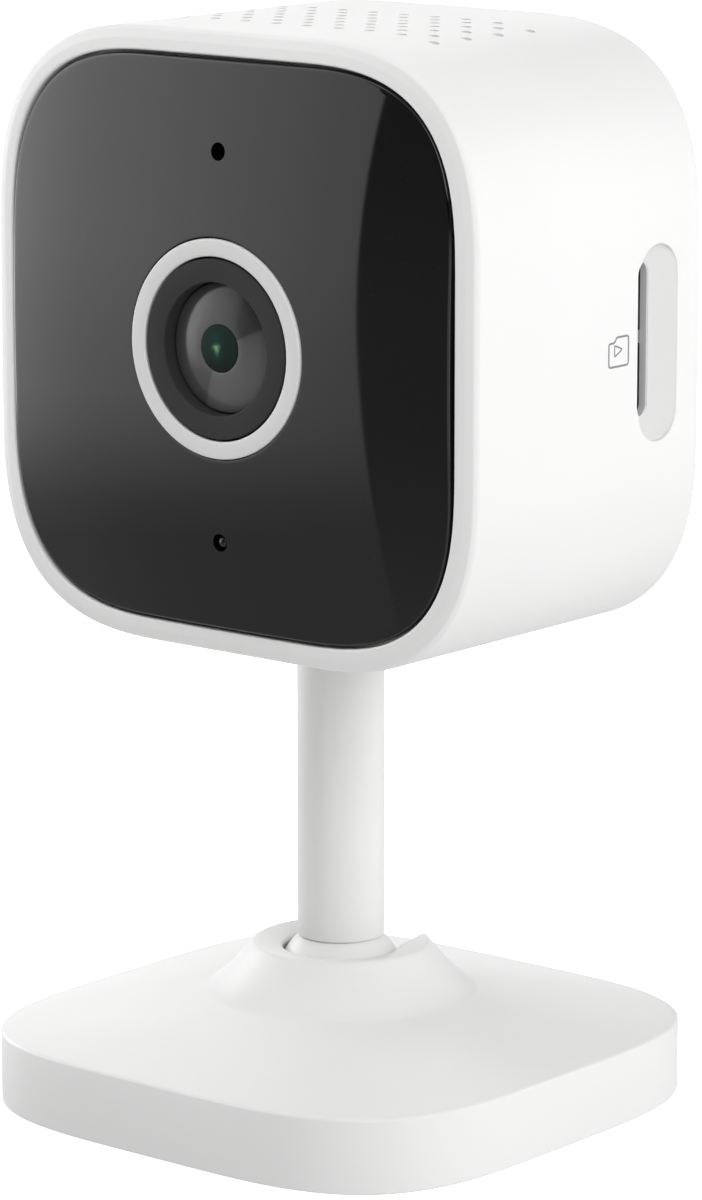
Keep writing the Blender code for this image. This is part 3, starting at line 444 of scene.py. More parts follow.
def object_point(tree, centre=(0.0, 0.0, 0.0), stretch=(1.0, 1.0, 1.0)):
    """The piece's own coordinates, moved to a centre given in millimetres."""
    own = add(tree, "ShaderNodeTexCoord").outputs["Object"]
    shift = [-c * MM * s for c, s in zip(centre, stretch)]
    inputs = {"Vector": own, "Location": shift, "Scale": stretch}
    return add(tree, "ShaderNodeMapping", inputs).outputs["Vector"]


def noise(tree, point, millimetres, detail=2.0, roughness=0.5):
    """Noise whose features are about the given size."""
    inputs = {"Vector": point, "Scale": 1.0 / (millimetres * MM), "Detail": detail, "Roughness": roughness}
    return add(tree, "ShaderNodeTexNoise", inputs).outputs["Fac"]


def between(tree, factor, low, high, from_low=0.3, from_high=0.7):
    inputs = {"Value": factor, "From Min": from_low, "From Max": from_high, "To Min": low, "To Max": high}
    return add(tree, "ShaderNodeMapRange", inputs).outputs["Result"]


def mixed(tree, factor, first, second):
    node = add(tree, "ShaderNodeMix", {}, data_type="RGBA")
    feed(tree, node, {"Factor": factor})
    colour_sockets = [socket for socket in node.inputs if socket.type == "RGBA"]
    for socket, tone in zip(colour_sockets, (first, second)):
        socket.default_value = (*tone, 1.0)
    return next(socket for socket in node.outputs if socket.type == "RGBA")


def bumped(tree, shader, height, distance, strength=1.0, below=None):
    inputs = {"Height": height, "Distance": distance * MM, "Strength": strength}
    if below is not None:
        inputs["Normal"] = below
    normal = add(tree, "ShaderNodeBump", inputs).outputs["Normal"]
    tree.links.new(normal, shader.inputs["Normal"])
    return normal


def shade(value, share):
    return [min(channel * share, 1.0) for channel in value]


def moulded(name, base, roughness=0.45, grain=0.22, depth=0.006, specular=0.5):
    """Spark-textured moulded plastic: fine grain, faint flow marks and uneven sheen."""
    material, tree, shader = principled(name)
    point = object_point(tree)
    flow = noise(tree, point, 22.0, 3.0)
    fine = noise(tree, point, grain, 3.0, 0.6)
    feed(tree, shader, {
        "Base Color": mixed(tree, between(tree, flow, 0.0, 1.0), shade(base, 0.985), shade(base, 1.01)),
        "Roughness": between(tree, fine, roughness - 0.05, roughness + 0.06),
        "Specular IOR Level": specular,
    })
    bumped(tree, shader, fine, depth, 0.6, bumped(tree, shader, flow, 0.02, 0.25))
    return material


def polished_black(name, base):
    """Polished panel: mirror-like, with faint wipe marks and specks of dust."""
    material, tree, shader = principled(name)
    point = object_point(tree)
    wipe = noise(tree, object_point(tree, stretch=(1.0, 1.0, 0.35)), 6.0, 4.0, 0.6)
    dusty = between(tree, noise(tree, point, 0.35, 1.0), 0.0, 1.0, 0.74, 0.82)
    feed(tree, shader, {
        "Base Color": mixed(tree, dusty, base, [0.02, 0.02, 0.021]),
        "Roughness": between(tree, wipe, 0.008, 0.03),
        "Specular IOR Level": 0.5,
    })
    bumped(tree, shader, noise(tree, point, 30.0, 1.0), 0.01, 0.04)
    return material


def satin_black(name, base, roughness=0.4, grain=0.12, specular=0.5):
    material, tree, shader = principled(name)
    point = object_point(tree)
    fine = noise(tree, point, grain, 2.0)
    feed(tree, shader, {
        "Base Color": mixed(tree, noise(tree, point, 5.0), shade(base, 0.85), shade(base, 1.15)),
        "Roughness": between(tree, fine, roughness - 0.05, roughness + 0.05),
        "Specular IOR Level": specular,
    })
    bumped(tree, shader, fine, 0.003, 0.5)
    return material


def about_lens(tree):
    """Coordinates about the lens's axis: across, up and along, in metres."""
    point = object_point(tree, (0.0, -BARREL_FRONT, HEAD_CENTRE))
    apart = add(tree, "ShaderNodeSeparateXYZ", {0: point}).outputs
    return add(tree, "ShaderNodeCombineXYZ", {"X": apart["X"], "Y": apart["Z"], "Z": apart["Y"]}).outputs[0]


def ramp(tree, factor, stops):
    """A blend through (position, grey or colour) stops."""
    node = add(tree, "ShaderNodeValToRGB", {"Fac": factor})
    elements = node.color_ramp.elements
    for position, _ in stops[1:-1]:
        elements.new(position)
    for element, (_, tone) in zip(elements, stops):
        element.color = (*tone, 1.0) if isinstance(tone, tuple) else (tone, tone, tone, 1.0)
    return node.outputs["Color"]


def lens_face(name):
    """Dark glass face over the conical barrel, with a painted reflection in its colour: a lighter wedge in one
    sector and a darker sector beside it.
    """
    material, tree, shader = principled(name)
    # Painted reflection: the glowing stops are a painted highlight wedge and the dark stops a painted darker
    # sector.
    painted_reflection_sectors = add(tree, "ShaderNodeTexGradient", {"Vector": about_lens(tree)}, gradient_type="RADIAL")
    left = [(0.0, 0.06), (0.15, 0.07), (0.185, 0.07)]
    glowing = [(0.195, 0.112), (0.25, 0.12), (0.36, 0.112), (0.5, 0.1), (0.56, 0.085)]
    dark = [(0.575, 0.036), (0.65, 0.043), (0.75, 0.05), (0.85, 0.057), (1.0, 0.06)]
    speck = noise(tree, object_point(tree), 0.8, 2.0)
    feed(tree, shader, {
        "Base Color": ramp(tree, painted_reflection_sectors.outputs["Fac"], left + glowing + dark),
        "Roughness": between(tree, speck, 0.16, 0.2),
        "Specular IOR Level": 0.35,
    })
    bumped(tree, shader, speck, 0.002, 0.1)
    return material


def pupil_glass(name, tint):
    """Deep glass of the pupil: nearly black, with a painted green glint in its middle that stands in for the
    lights' reflection in the coating.
    """
    material, tree, shader = principled(name)
    # Painted highlight: a soft spot near the pupil's middle, brightened to green in the base colour.
    place = {"Vector": about_lens(tree), "Location": (0.35, -0.05, 0.0), "Scale": (850.0, 560.0, 0.0)}
    near = add(tree, "ShaderNodeMapping", place).outputs["Vector"]
    glint_spot = add(tree, "ShaderNodeTexGradient", {"Vector": near}, gradient_type="SPHERICAL").outputs["Fac"]
    cloud = noise(tree, object_point(tree), 0.7, 3.0, 0.6)
    painted_glint = math_node(tree, "MULTIPLY", glint_spot, between(tree, cloud, 0.5, 1.2))
    deep = [(0.0, (0.013, 0.015, 0.015)), (0.35, (0.012, 0.026, 0.024))]
    bright = [(0.62, (0.03, 0.085, 0.05)), (0.95, (0.22, 0.38, 0.2))]
    feed(tree, shader, {
        "Base Color": ramp(tree, painted_glint, deep + bright),
        "Roughness": between(tree, cloud, 0.03, 0.06),
        "Specular Tint": (*tint, 1.0),
        "Specular IOR Level": 0.1,
    })
    return material


def coated_glass(name, tint, base=(0.004, 0.009, 0.008), roughness=0.02):
    """Dark coated glass: the coating colours what it reflects; the base colour also turns towards the tint at
    grazing angles, a painted rim reflection.
    """
    material, tree, shader = principled(name)
    # Painted reflection: the base colour is tinted towards the rim, on top of the real specular tint.
    painted_rim_share = add(tree, "ShaderNodeLayerWeight", {"Blend": 0.35}).outputs["Facing"]
    speck = noise(tree, object_point(tree), 0.9, 2.0)
    feed(tree, shader, {
        "Base Color": mixed(tree, painted_rim_share, base, shade(tint, 0.06)),
        "Roughness": between(tree, speck, roughness, roughness + 0.03),
        "Specular Tint": (*tint, 1.0),
        "IOR": 1.7,
        "Coat Weight": 0.6,
        "Coat Tint": (0.7, 0.85, 1.0, 1.0),
    })
    return material


def clear_plastic(name, tint):
    material, tree, shader = principled(name)
    speck = noise(tree, object_point(tree), 0.4)
    feed(tree, shader, {
        "Base Color": mixed(tree, speck, shade(tint, 0.95), tint),
        "Roughness": between(tree, speck, 0.08, 0.16),
        "Transmission Weight": 0.8,
        "IOR": 1.49,
    })
    return material


def rubbery(name, base):
    material, tree, shader = principled(name)
    grain = noise(tree, object_point(tree), 0.3, 4.0, 0.7)
    feed(tree, shader, {
        "Base Color": mixed(tree, grain, shade(base, 0.8), shade(base, 1.4)),
        "Roughness": between(tree, grain, 0.72, 0.9),
        "Sheen Weight": 0.15,
    })
    bumped(tree, shader, grain, 0.02, 0.6)
    return material


def metal(name, pattern, dull, bright, roughness, depth, strength):
    """Bare metal toned, roughened and embossed by a pattern."""
    material, tree, shader = principled(name)
    fac, *span = pattern(tree)
    feed(tree, shader, {
        "Base Color": mixed(tree, fac, dull, bright),
        "Roughness": between(tree, fac, *roughness, *span),
        "Metallic": 1.0,
    })
    bumped(tree, shader, fac, depth, strength)
    return material


def brushed(name, base, roughness=0.28, stretch=(1.0, 1.0, 12.0)):
    """Metal with fine marks along one direction."""

    def marks(tree):
        return [noise(tree, object_point(tree, stretch=stretch), 0.25, 3.0, 0.65)]

    span = (roughness - 0.08, roughness + 0.1)
    return metal(name, marks, shade(base, 0.85), shade(base, 1.08), span, 0.002, 0.5)


def wound_copper(name):
    """Enamelled wire laid in even turns."""

    def turns(tree):
        inputs = {"Scale": 1.0 / (0.7 * MM), "Vector": object_point(tree)}
        return [add(tree, "ShaderNodeTexWave", inputs, bands_direction="X").outputs["Fac"], 0.0, 1.0]

    return metal(name, turns, [0.33, 0.11, 0.04], [0.75, 0.36, 0.17], (0.25, 0.4), 0.06, 0.8)


def circuit_board(name, mask):
    """Solder mask over copper traces, with rows of bare pads."""
    material, tree, shader = principled(name)
    point = object_point(tree, stretch=(1.0, 0.02, 1.0))
    lying = {"Vector": point, "Rotation": (math.radians(90.0), 0.0, 0.0)}
    traces = add(tree, "ShaderNodeTexBrick", {
        "Vector": add(tree, "ShaderNodeMapping", lying).outputs["Vector"], "Scale": 1.0 / (2.6 * MM),
        "Mortar Size": 0.035, "Mortar Smooth": 0.1, "Bias": -0.4,
    }).outputs["Fac"]
    feed(tree, shader, {
        "Base Color": mixed(tree, traces, mask, shade(mask, 1.9)),
        "Roughness": between(tree, noise(tree, point, 0.6, 2.0), 0.3, 0.45),
    })
    bumped(tree, shader, traces, 0.03, 0.4)
    return material


def make_finishes():
    """All the finishes, by name, made once."""
    tones = sizes("finish_colours")
    white, coating = list(tones.white), list(tones.coating)
    return {
        "shell": moulded("Casing white", white),
        "stand": moulded("Stand white", white, 0.42),
        "pole": moulded("Pole white", shade(white, 0.98), 0.36, 0.15, 0.003),
        "ring": moulded("Ring white", shade(white, 0.88), 0.4, 0.15, 0.003),
        # Painted shade: a darker copy of the casing white for the scoop's recessed floor.
        "scoop": moulded("Scoop painted shade", shade(white, 0.82), 0.5),
        "grey": moulded("Grey plastic", list(tones.grey), 0.5),
        # Painted shade: dark grey strokes stand in for the shade in the pictogram's engraved lines.
        "mark": moulded("Pictogram painted groove shade", [0.2, 0.2, 0.205], 0.5, 0.1, 0.002),
        # Grey of the card slot's sleeve: painted shade of the white wall inside the slot.
        "slot_shade_grey": moulded("Slot shade grey", [0.66, 0.66, 0.665], 0.5, 0.1, 0.002),
        "panel": polished_black("Panel black", list(tones.panel)),
        "well": satin_black("Well black", [0.034, 0.034, 0.035], 0.62, specular=0.12),
        "black": satin_black("Black plastic", list(tones.black), 0.5),
        "chip": satin_black("Chip", [0.02, 0.02, 0.022], 0.45, 0.2),
        "barrel": lens_face("Lens face"),
        "pupil": pupil_glass("Pupil glass", coating),
        "lens": coated_glass("Coated lens", coating),
        "filter": coated_glass("Filter glass", [0.35, 0.85, 1.0], (0.02, 0.05, 0.06)),
        "clear": clear_plastic("Clear plastic", [0.9, 0.93, 0.92]),
        "smoke": clear_plastic("Smoked plastic", [0.03, 0.03, 0.032]),
        "rubber": rubbery("Rubber", list(tones.rubber)),
        "foam": rubbery("Foam", [0.03, 0.03, 0.03]),
        "steel": brushed("Plated steel", [0.62, 0.61, 0.6]),
        "weight": brushed("Weight steel", [0.45, 0.45, 0.46], 0.4, (1.0, 14.0, 1.0)),
        "aluminium": brushed("Aluminium", [0.78, 0.78, 0.79], 0.35, (1.0, 1.0, 16.0)),
        "board": circuit_board("Circuit board", list(tones.board)),
        "copper": wound_copper("Wound copper"),
    }


FINISHES = {}


# ------------------------------------------------------------------ geometry node trees


def new_tree(name, inputs):
    """A geometry tree with its geometry input and output and the named sizes."""
    tree = bpy.data.node_groups.new(name, "GeometryNodeTree")
    tree.interface.new_socket("Geometry", in_out="INPUT", socket_type="NodeSocketGeometry")
    for label, (kind, value) in inputs.items():
        socket = tree.interface.new_socket(label, in_out="INPUT", socket_type=f"NodeSocket{kind}")
        socket.default_value = value
    tree.interface.new_socket("Material", in_out="INPUT", socket_type="NodeSocketMaterial")
    tree.interface.new_socket("Geometry", in_out="OUTPUT", socket_type="NodeSocketGeometry")
    return tree, add(tree, "NodeGroupInput").outputs


def math_node(tree, operation, *values):
    return add(tree, "ShaderNodeMath", dict(enumerate(values)), operation=operation).outputs[0]


def drilled(tree, geometry, places, **drill):
    """Cuts an upright round hole at each place."""
    inputs = {name.capitalize(): value for name, value in drill.items()}
    cylinder = add(tree, "GeometryNodeMeshCylinder", inputs).outputs["Mesh"]
    drills = add(tree, "GeometryNodeInstanceOnPoints", {"Points": places, "Instance": cylinder}).outputs[0]
    solid = add(tree, "GeometryNodeRealizeInstances", {0: drills}).outputs[0]
    cut = add(tree, "GeometryNodeMeshBoolean", {}, operation="DIFFERENCE", solver="EXACT")
    feed(tree, cut, {"Mesh 1": geometry, "Mesh 2": solid})
    return cut.outputs["Mesh"]


def end_tree(tree, given, geometry):
    """Realizes the geometry, paints it and puts it out."""
    solid = add(tree, "GeometryNodeRealizeInstances", {0: geometry}).outputs[0]
    painted = add(tree, "GeometryNodeSetMaterial", {"Geometry": solid, "Material": given["Material"]})
    add(tree, "NodeGroupOutput", {"Geometry": painted.outputs[0]})
    return tree


def run_tree(obj, tree, **values):
    """Runs a tree on an object with the given inputs, and keeps the result as a plain mesh."""
    modifier = obj.modifiers.new(tree.name, "NODES")
    modifier.node_group = tree
    for item in tree.interface.items_tree:
        key = item.name.lower().replace(" ", "_")
        if item.in_out == "INPUT" and key in values:
            modifier[item.identifier] = values[key]
    return baked(obj)


def grille_tree():
    """Staggered rows of round holes, cut down through the top."""
    tree, given = new_tree("Speaker grille", {
        "Rows": ("Int", 7), "Columns": ("Int", 19), "Row Pitch": ("Float", 0.00244),
        "Stagger": ("Float", 0.00193), "Hole Radius": ("Float", 0.00055), "Top": ("Float", 0.1),
        "Depth": ("Float", 0.006),
    })

    def span(count, pitch):
        return math_node(tree, "MULTIPLY", math_node(tree, "SUBTRACT", given[count], 1.0), given[pitch])

    grid = add(tree, "GeometryNodeMeshGrid", {
        "Vertices X": given["Columns"], "Vertices Y": given["Rows"],
        "Size X": span("Columns", "Stagger"), "Size Y": span("Rows", "Row Pitch"),
    })
    odd = math_node(tree, "MODULO", add(tree, "GeometryNodeInputIndex").outputs[0], 2.0)
    thinned = add(tree, "GeometryNodeDeleteGeometry", {"Geometry": grid.outputs["Mesh"], "Selection": odd})
    height = add(tree, "ShaderNodeCombineXYZ", {"Z": given["Top"]}).outputs[0]
    lifted = add(tree, "GeometryNodeTransform", {"Geometry": thinned.outputs[0], "Translation": height})
    holes = {"vertices": 20, "radius": given["Hole Radius"], "depth": given["Depth"]}
    return end_tree(tree, given, drilled(tree, given["Geometry"], lifted.outputs[0], **holes))


def dome_tree():
    """Raises a flat plate's front to a shallow dome, rounds its edge and drills two eyes."""
    tree, given = new_tree("Domed panel", {
        "Dome Radius": ("Float", 0.28), "Apex": ("Float", 0.019), "Edge Rounding": ("Float", 0.0005),
        "Eye Height": ("Float", 0.0188), "Eye Radius": ("Float", 0.0009),
    })
    dome, apex, rounding = given["Dome Radius"], given["Apex"], given["Edge Rounding"]
    at = add(tree, "ShaderNodeSeparateXYZ", {0: add(tree, "GeometryNodeInputPosition").outputs[0]}).outputs
    under = math_node(tree, "POWER", dome, 2.0)
    for axis in ("X", "Y"):
        under = math_node(tree, "SUBTRACT", under, math_node(tree, "POWER", at[axis], 2.0))
    drop = math_node(tree, "SUBTRACT", dome, math_node(tree, "SQRT", under))
    inset = add(tree, "GeometryNodeInputNamedAttribute", {}, data_type="FLOAT")
    feed(tree, inset, {"Name": "edge_distance"})
    inset = inset.outputs["Attribute"]
    out = math_node(tree, "MINIMUM", math_node(tree, "DIVIDE", inset, rounding), 1.0)
    out = math_node(tree, "POWER", math_node(tree, "SUBTRACT", 1.0, out), 2.0)
    rise = math_node(tree, "SQRT", math_node(tree, "SUBTRACT", 1.0, out))
    fall = math_node(tree, "MULTIPLY", math_node(tree, "SUBTRACT", 1.0, rise), rounding)
    level = math_node(tree, "SUBTRACT", math_node(tree, "SUBTRACT", apex, drop), fall)
    raised = add(tree, "GeometryNodeSetPosition", {
        "Geometry": given["Geometry"],
        "Selection": math_node(tree, "GREATER_THAN", inset, -0.5),
        "Position": add(tree, "ShaderNodeCombineXYZ", {"X": at["X"], "Y": at["Y"], "Z": level}).outputs[0],
    })
    eyes = add(tree, "GeometryNodeMeshLine", {"Count": 2}, mode="END_POINTS")
    for name, sign in (("Start Location", 1.0), ("Offset", -1.0)):
        height = math_node(tree, "MULTIPLY", given["Eye Height"], sign)
        feed(tree, eyes, {name: add(tree, "ShaderNodeCombineXYZ", {"Y": height, "Z": apex}).outputs[0]})
    holes = {"vertices": 40, "radius": given["Eye Radius"], "depth": 12.0 * MM}
    return end_tree(tree, given, drilled(tree, raised.outputs[0], eyes.outputs[0], **holes))


def screw_tree():
    """Sets a copy of the incoming screw at each place on a circle, each turned a different way."""
    tree, given = new_tree("Screw circle", {
        "Count": ("Int", 4), "Circle Radius": ("Float", 0.02), "First Angle": ("Float", 0.785),
        "Seed": ("Int", 3),
    })
    around = {"Vertices": given["Count"], "Radius": given["Circle Radius"]}
    circle = add(tree, "GeometryNodeMeshCircle", around)
    angle = add(tree, "ShaderNodeCombineXYZ", {"Z": given["First Angle"]}).outputs[0]
    spun = add(tree, "GeometryNodeTransform", {"Geometry": circle.outputs[0], "Rotation": angle}).outputs[0]
    chance = add(tree, "FunctionNodeRandomValue", {}, data_type="FLOAT")
    for name, value in (("Min", 0.0), ("Max", math.pi)):
        next(s for s in chance.inputs if s.name == name and s.type == "VALUE").default_value = value
    feed(tree, chance, {"Seed": given["Seed"]})
    turn = add(tree, "ShaderNodeCombineXYZ", {"Z": next(s for s in chance.outputs if s.type == "VALUE")})
    copies = add(tree, "GeometryNodeInstanceOnPoints", {
        "Points": spun, "Instance": given["Geometry"], "Rotation": turn.outputs[0],
    })
    return end_tree(tree, given, copies.outputs[0])


# ------------------------------------------------------------------ head


def head_ring(inset, level, steps=256):
    """The head's outline, moved in; its corners grow squarer towards the panel."""
    casing = sizes("casing_sizes")
    share = min(max(inset, 0.0) / (HEAD_HALF - PANEL_HALF), 1.0)
    exponent = casing.squareness + (casing.panel_squareness - casing.squareness) * share
    return square_ring(HEAD_HALF - inset, mm(casing.corner) - inset, exponent, level, steps)


def build_head_shell():
    casing = sizes("casing_sizes")
    bezel, wall, rear = mm(casing.bezel), mm(casing.wall), mm(casing.rear_edge)
    crease = BEZEL_FRONT - 0.47
    ledge = PANEL_BACK - 0.3
    ledge_in = HEAD_HALF - PANEL_HALF + 2.2
    profile = filleted([
        (wall, -HEAD_REAR, 0.25), (0.0, -HEAD_REAR, rear), (0.0, crease - 0.4, 1.2),
        (0.32, crease + 0.06, 0.35), (1.2, BEZEL_FRONT - 0.13, 1.0), (bezel - 0.12, BEZEL_FRONT, 0.22),
        (bezel, BEZEL_FRONT - 0.2, 0.15), (bezel, ledge, 0.15), (ledge_in, ledge, 0.2),
        (ledge_in, ledge - 1.4, 0.2), (wall, ledge - 1.4, 0.4),
    ])
    shell = make_object("head_shell", loft([head_ring(d, z) for d, z in profile], closed=True), FRONT_PLACE)
    carve(shell, turned([(POLE_RADIUS + 0.3, -HEAD_HALF - 3.0), (POLE_RADIUS + 0.3, -HEAD_HALF + 6.0)],
                        96, closed=False), HEAD_PLACE)
    carve_card_slot(shell)
    grille = sizes("grille_sizes")
    run_tree(
        shell, grille_tree(), rows=grille.rows, columns=grille.columns, row_pitch=grille.row_pitch,
        stagger=grille.stagger, hole_radius=grille.radius, top=(HEAD_CENTRE + HEAD_HALF) * MM,
        depth=8.0 * MM, material=FINISHES["shell"],
    )
    smooth(shell, 26.0)
    settle(shell, "shell", "head", "white_shell", "housing_shell")
    finish_scoop(shell)


def finish_scoop(shell):
    """The scoop's floor gets a darker copy of the casing white: painted shade for the recess."""
    centre, width, tall = SCOOP
    shell.data.materials.append(FINISHES["scoop"])
    for face in shell.data.polygons:
        x, back, up = face.center / MM
        level = max(abs(up - HEAD_CENTRE - centre[1]) - (tall - width) / 2.0, 0.0)
        inside = math.hypot(back - centre[0], level) < width / 2.0 + 0.05
        if inside and HEAD_HALF - 1.5 < x < HEAD_HALF - 0.01 and face.normal.x > 0.8:
            face.material_index = 1


def side_slot(slot, grow, x, steps=16):
    """A slot's ring on the right side of the head, grown by a length, at one x or at one for each point."""
    centre, width, tall = slot
    ring = slot_ring(width + grow, tall + grow, 0.0, centre, steps)
    x = x(ring[:, 0]) if callable(x) else x
    return np.column_stack([np.broadcast_to(x, len(ring)), ring[:, :2]])


def carve_card_slot(shell):
    """A finger scoop that deepens forward to the card slot, with softened edges."""
    (middle, _), width, _ = SCOOP
    front, rear = middle - width / 2.0, middle + width / 2.0
    wall = HEAD_HALF - SCOOP_DEPTH - 1.15
    pad = block((wall, front - 0.9, -11.3), (HEAD_HALF - 0.9, rear + 0.9, 11.3))
    carve(shell, pad, HEAD_PLACE, "UNION")
    rings = [side_slot(SCOOP, 0.5, HEAD_HALF + 0.4), side_slot(SCOOP, 0.12, HEAD_HALF)]
    for shrink, share in ((0.0, 0.12), (0.03, 0.75), (0.25, 0.94), (0.7, 1.0)):

        def floor(back, share=share):
            return HEAD_HALF - share * (SCOOP_DEPTH * (1.0 - 0.95 * (back - front) / width))

        rings.append(side_slot(SCOOP, -shrink, floor))
    carve(shell, loft(rings), HEAD_PLACE)
    carve(shell, loft([side_slot(CARD_SLOT, 0.0, x, 12) for x in (HEAD_HALF + 1.0, wall - 1.0)]), HEAD_PLACE)


def build_slot_shade():
    """Grey sleeve in the card slot, painted shade over its white wall, then a black sleeve behind it, painted
    deep shade, with the card's guide in it.
    """
    # Painted shade: the grey sleeve stands for the white wall in shade, the black one for the deep dark beyond
    # it.
    for name, outer, inner, finish in (
        ("slot_liner", SLOT_FLOOR, DEEP_SHADE_FACE, "slot_shade_grey"), ("slot_seal", DEEP_SHADE_FACE, CARD_HIGH[0] + 0.1, "black"),
    ):
        wall = ((outer, 0.02), (outer, 0.3), (inner, 0.3), (inner, 0.02))
        rings = [side_slot(CARD_SLOT, -shrink, x, 12) for x, shrink in wall]
        piece(name, loft(rings, closed=True), HEAD_PLACE, finish, "head", "grey_plastic")
    (middle, up), width, _ = CARD_SLOT
    back = middle + width / 2.0 - 0.1
    tab = block((CARD_HIGH[0] + 0.1, back - 0.16, up - 0.55), (DEEP_SHADE_FACE + 0.1, back, up + 0.7))
    tab = make_object("card_guide", tab, HEAD_PLACE)
    soften(tab, 0.05, 2)
    settle(tab, "grey", "head", "grey_plastic")


def stroke(points, width, low, high):
    """A closed line of even width, as a thin solid standing out along x."""
    count = len(points)
    rings = [[], [], [], []]
    for index, point in enumerate(points):
        before = (Vector(point) - Vector(points[index - 1])).normalized()
        after = (Vector(points[(index + 1) % count]) - Vector(point)).normalized()
        middle = (before + after).normalized()
        side = Vector((-middle.y, middle.x)) * (width / 2.0 / max(middle.dot(after), 0.5))
        for ring, sign, x in zip(rings, (-1, 1, 1, -1), (low, low, high, high)):
            place = Vector(point) + side * sign
            ring.append((x, place.x, place.y))
    return loft([np.array(ring) for ring in rings], closed=True)


def build_card_mark():
    """A plain memory card pictogram beside the slot: outline with a cut corner, and a pointer; its dark grey
    strokes are painted shade for the icon's engraved lines.
    """
    left, right, low, high = 3.55, 6.65, -1.5, 1.3
    outline = filleted([
        (left, low, 0.3), (right, low, 0.3), (right, high, 0.3), (left + 1.25, high, 0.25),
        (left + 0.85, high - 0.5, 0.2), (left, high - 0.5, 0.25),
    ], segments=4)
    pointer = filleted([(4.45, -0.55, 0.08), (5.7, 0.1, 0.08), (4.45, 0.55, 0.08)], segments=3)
    shape = merged(
        stroke(outline, 0.2, HEAD_HALF - 0.1, HEAD_HALF + 0.012),
        stroke(pointer, 0.16, HEAD_HALF - 0.1, HEAD_HALF + 0.012),
    )
    piece("card_mark", shape, HEAD_PLACE, "mark", "head", "grey_plastic")


def build_card_socket():
    """Steel shell of the card socket, open towards the slot, with its card guide tab."""
    low = [CARD_LOW[0], CARD_LOW[1], CARD_LOW[2] - HEAD_CENTRE]
    high = [CARD_HIGH[0], CARD_HIGH[1], CARD_HIGH[2] - HEAD_CENTRE]
    socket = make_object("card_reader", block(low, high), HEAD_PLACE)
    mouth = block((low[0] + 1.5, low[1] + 0.28, low[2] + 1.3), (high[0] + 1.0, high[1] - 0.28, high[2] - 1.3))
    carve(socket, mouth, HEAD_PLACE)
    soften(socket, 0.1, 2)
    build_slot_shade()
    settle(socket, "steel", "head", "steel", "card_socket")


def build_panel():
    """The panel starts as a flat plate of rings; the tree domes its front."""
    casing = sizes("casing_sizes")
    corner = mm(casing.corner) - HEAD_HALF + PANEL_HALF
    edge = square_ring(PANEL_HALF, corner, casing.panel_squareness, 0.0, PANEL_STEPS)
    inner = round_ring(RING_OUTER + 0.12, 0.0, PANEL_STEPS)
    reach = np.linalg.norm(edge - inner, axis=1)
    rings = [ring + np.array([0.0, 0.0, PANEL_BACK]) for ring in (inner, edge)]
    distances = [BACK_FACE, BACK_FACE]
    for inset in EDGE_INSETS:
        rings.append(edge + (inner - edge) * (inset / reach)[:, None])
        distances.append(inset * MM)
    span = 1.0 - EDGE_INSETS[-1] / reach
    for share in np.linspace(0.0, 1.0, 48)[1:-1]:
        rings.append(edge + (inner - edge) * (1.0 - span * (1.0 - share))[:, None])
        distances.append(FAR_FROM_EDGE)
    for inset in (0.3, 0.1, 0.04, 0.0):
        rings.append(inner + (edge - inner) * (inset / reach)[:, None])
        distances.append((inset + 0.16) * MM)
    panel = make_object("camera_front", loft(rings, closed=True), Matrix.Identity(4))
    attribute = panel.data.attributes.new("edge_distance", "FLOAT", "POINT")
    attribute.data.foreach_set("value", np.repeat(np.array(distances, np.float32), PANEL_STEPS))
    run_tree(
        panel, dome_tree(), dome_radius=casing.dome, apex=PANEL_APEX * MM, edge_rounding=PANEL_ROUNDING * MM,
        eye_height=casing.eye_height, eye_radius=casing.eye_radius, material=FINISHES["panel"],
    )
    panel.data.transform(metre_place(FRONT_PLACE))
    smooth(panel, 30.0)
    settle(panel, "panel", "head", "black_panel", "front_panel")


def metre_place(place):
    """The same turn, with its shift in metres."""
    matrix = place.copy()
    matrix.translation = place.translation * MM
    return matrix


